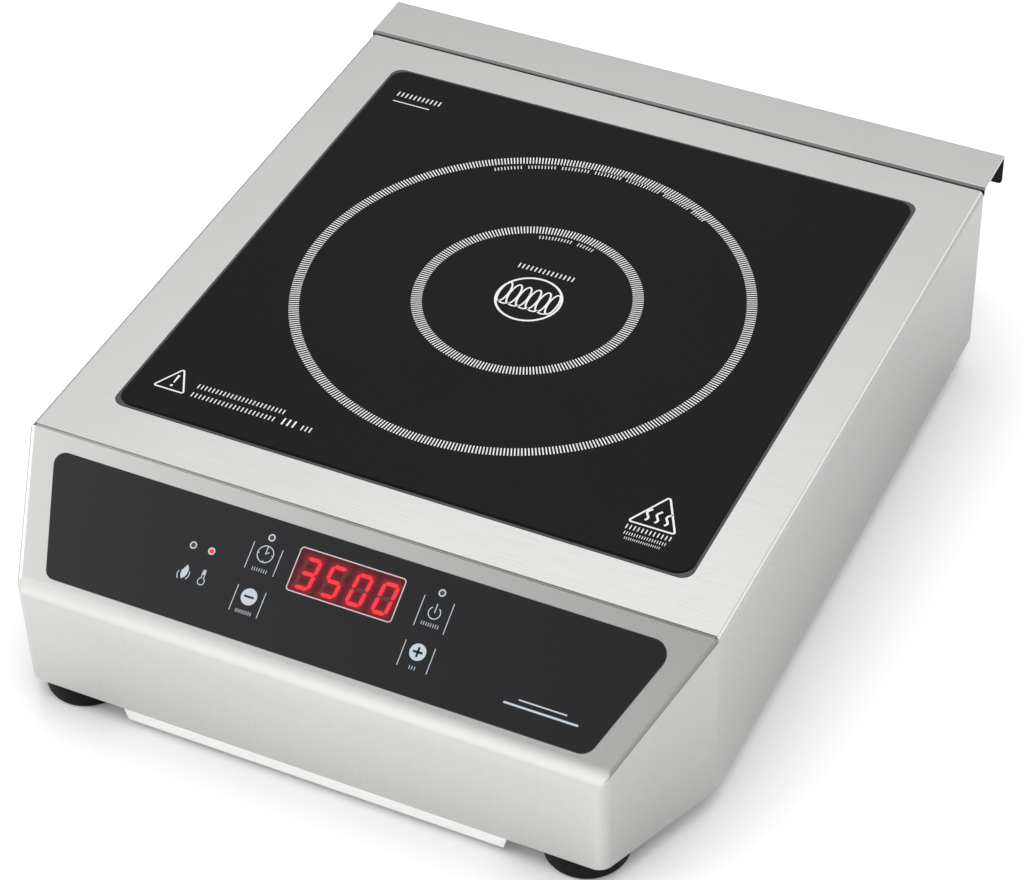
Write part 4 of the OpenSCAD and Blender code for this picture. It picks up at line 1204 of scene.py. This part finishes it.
# Each material and the CAD nodes that it covers
NODE_LOOKS = (
    (STEEL_REAR, "rear_panel"), (STEEL_STRIP, "rear_deflector"), (STEEL_BASE, "base_plate"),
    (STEEL_DULL, "glass_frame tray_rails"), (STEEL_TRAY, "filter_tray"),
    (ALUMINIUM, "filter_mesh coil_bracket heat_sink"), (FILM, "key_timer key_down key_on_off key_up"),
    (BOARD, "control_board main_board"), (COPPER, "coil_winding filter_choke"), (MICA, "mica_sheet"),
    (WHITE_NYLON, "control_spacers board_standoffs fuse terminal_block"), (BRASS, "coil_pillars"),
    (BLACK_PLASTIC, "tact_switches display_module buzzer coil_former power_transistors bridge_rectifier"),
    (BLACK_PLASTIC, "fan_frames fan_rotor_left fan_rotor_right strain_relief cord_tie"),
    (LED_EPOXY, "display_segments indicator_leds"), (GREY_PVC, "ribbon_cable"), (CERAMIC, "ferrite_bars"),
    (SCREW_ZINC, "coil_screws fan_screws foot_screws base_screws rear_screws temperature_sensor plug_pins"),
    (SLEEVE, "sensor_holder coil_leads"), (CAPACITOR, "film_capacitors"), (EARTH, "earth_lead"),
    (BLACK_RUBBER, "plug_body"),
)
SOFT_EDGES = {
    "rear_panel": 0.15, "rear_deflector": 0.2, "base_plate": 0.2, "filter_tray": 0.25, "tray_rails": 0.15,
    "rear_screws": 0.4, "base_screws": 0.4, "fan_screws": 0.3, "foot_screws": 0.3,
    "strain_relief": 0.6, "plug_body": 1.5, "plug_pins": 0.8,
}
SOFT_EDGE_ANGLE = 40


def dress(node, material, shading, soft_edge):
    node.data.materials.clear()
    node.data.materials.append(material)
    modifier = node.modifiers.new("creases", "NODES")
    modifier.node_group = shading
    if soft_edge:
        bevel = node.modifiers.new("soft_edges", "BEVEL")
        bevel.width = soft_edge * MM
        bevel.segments = 2
        bevel.limit_method = "ANGLE"
        bevel.angle_limit = math.radians(SOFT_EDGE_ANGLE)
        weighted_normals(node)


def dress_cad_nodes():
    shading = crease_group()
    for material, names in NODE_LOOKS:
        for name in names.split():
            dress(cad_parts[name], material, shading, SOFT_EDGES.get(name))


# ---------- light, floor and camera ----------

LIGHT_FLOOR = 0.40
LEAST_LIGHT = 0.1
# Soft lights of the studio, and one dark card: direction, brightness and how tightly each one is gathered
SOFT_LIGHTS = (
    ((-0.28, 0.52, 0.80), 1.5, 22),
    ((-0.78, -0.30, 0.56), 2.3, 17),
    ((-0.30, -0.92, 0.14), 1.2, 5),
    ((0.60, 0.66, 0.42), 1.4, 8),
    ((-0.31, 0.18, 0.93), -1.1, 45),
)


def make_world():
    """Even pale surroundings with a few soft lights that have no edges"""
    world = bpy.data.worlds.new("studio")
    bpy.context.scene.world = world
    world.use_nodes = True
    tree = world.node_tree
    background = tree.nodes["Background"]
    direction = tree.nodes.new("ShaderNodeTexCoord").outputs["Generated"]
    total = LIGHT_FLOOR
    for towards, brightness, power in SOFT_LIGHTS:
        dot = tree.nodes.new("ShaderNodeVectorMath")
        dot.operation = "DOT_PRODUCT"
        tree.links.new(direction, dot.inputs[0])
        dot.inputs[1].default_value = Vector(towards).normalized()
        lobe = math_node(tree, "POWER", math_node(tree, "MAXIMUM", dot.outputs["Value"], 0.0), power)
        total = math_node(tree, "MULTIPLY_ADD", lobe, brightness, total)
    total = math_node(tree, "MAXIMUM", total, LEAST_LIGHT)
    background.inputs["Color"].default_value = (1, 1, 1, 1)
    tree.links.new(total, background.inputs["Strength"])


def add_overhead_light():
    """Large light above that evens out the floor without showing in the steel"""
    light = bpy.data.lights.new("overhead", "AREA")
    light.size = 3
    light.energy = 60
    lamp = new_object("overhead", light)
    lamp.location = (0, 0, 2.5)
    lamp.visible_glossy = False


def make_stage():
    half = 4.0
    corners = [(-half, -half, 0), (half, -half, 0), (half, half, 0), (-half, half, 0)]
    floor = new_object("floor", mesh_from(corners, [[0, 1, 2, 3]], "floor"))
    shader = Shader("pale_floor", (0.9, 0.9, 0.9), 0.8, specular=0.1)
    shader.vary_colour(shader.noise(3, 2.0), 0.01)
    floor.data.materials.append(shader.material)
    make_world()
    add_overhead_light()


# Camera fitted to the straight edges of the real hob: angles in degrees, place and lens in millimetres
CAMERA_AZIMUTH = 24.75
CAMERA_ELEVATION = 42.22
CAMERA_ROLL = -0.589
CAMERA_PLACE = Vector((496.2, -1009.2, 1026.2))
CAMERA_LENS = 110.73
CAMERA_SHIFT = (-0.0775, 0.0164)


def make_camera():
    """Camera that sees the hob from the front right and above"""
    azimuth, elevation, roll = [math.radians(a) for a in (CAMERA_AZIMUTH, CAMERA_ELEVATION, CAMERA_ROLL)]
    level = math.cos(elevation)
    back = Vector((math.sin(azimuth) * level, -math.cos(azimuth) * level, math.sin(elevation)))
    right = Vector((math.cos(azimuth), math.sin(azimuth), 0))
    up = back.cross(right)
    x_axis = right * math.cos(roll) + up * math.sin(roll)
    y_axis = up * math.cos(roll) - right * math.sin(roll)
    turn = Matrix((x_axis, y_axis, back)).transposed().to_4x4()
    data = bpy.data.cameras.new("camera")
    data.sensor_width = 36
    data.lens = CAMERA_LENS
    data.shift_x, data.shift_y = CAMERA_SHIFT
    data.clip_start = 0.01
    camera = new_object("camera", data)
    camera.matrix_world = Matrix.Translation(CAMERA_PLACE * MM) @ turn
    bpy.context.scene.camera = camera


make_shells()
make_glass()
make_glass_print()
make_overlay()
make_panel_print()
make_key_print()
make_display()
make_indicators()
make_feet()
make_cord()
dress_cad_nodes()
make_stage()
make_camera()
bpy.context.scene.view_settings.view_transform = "Standard"
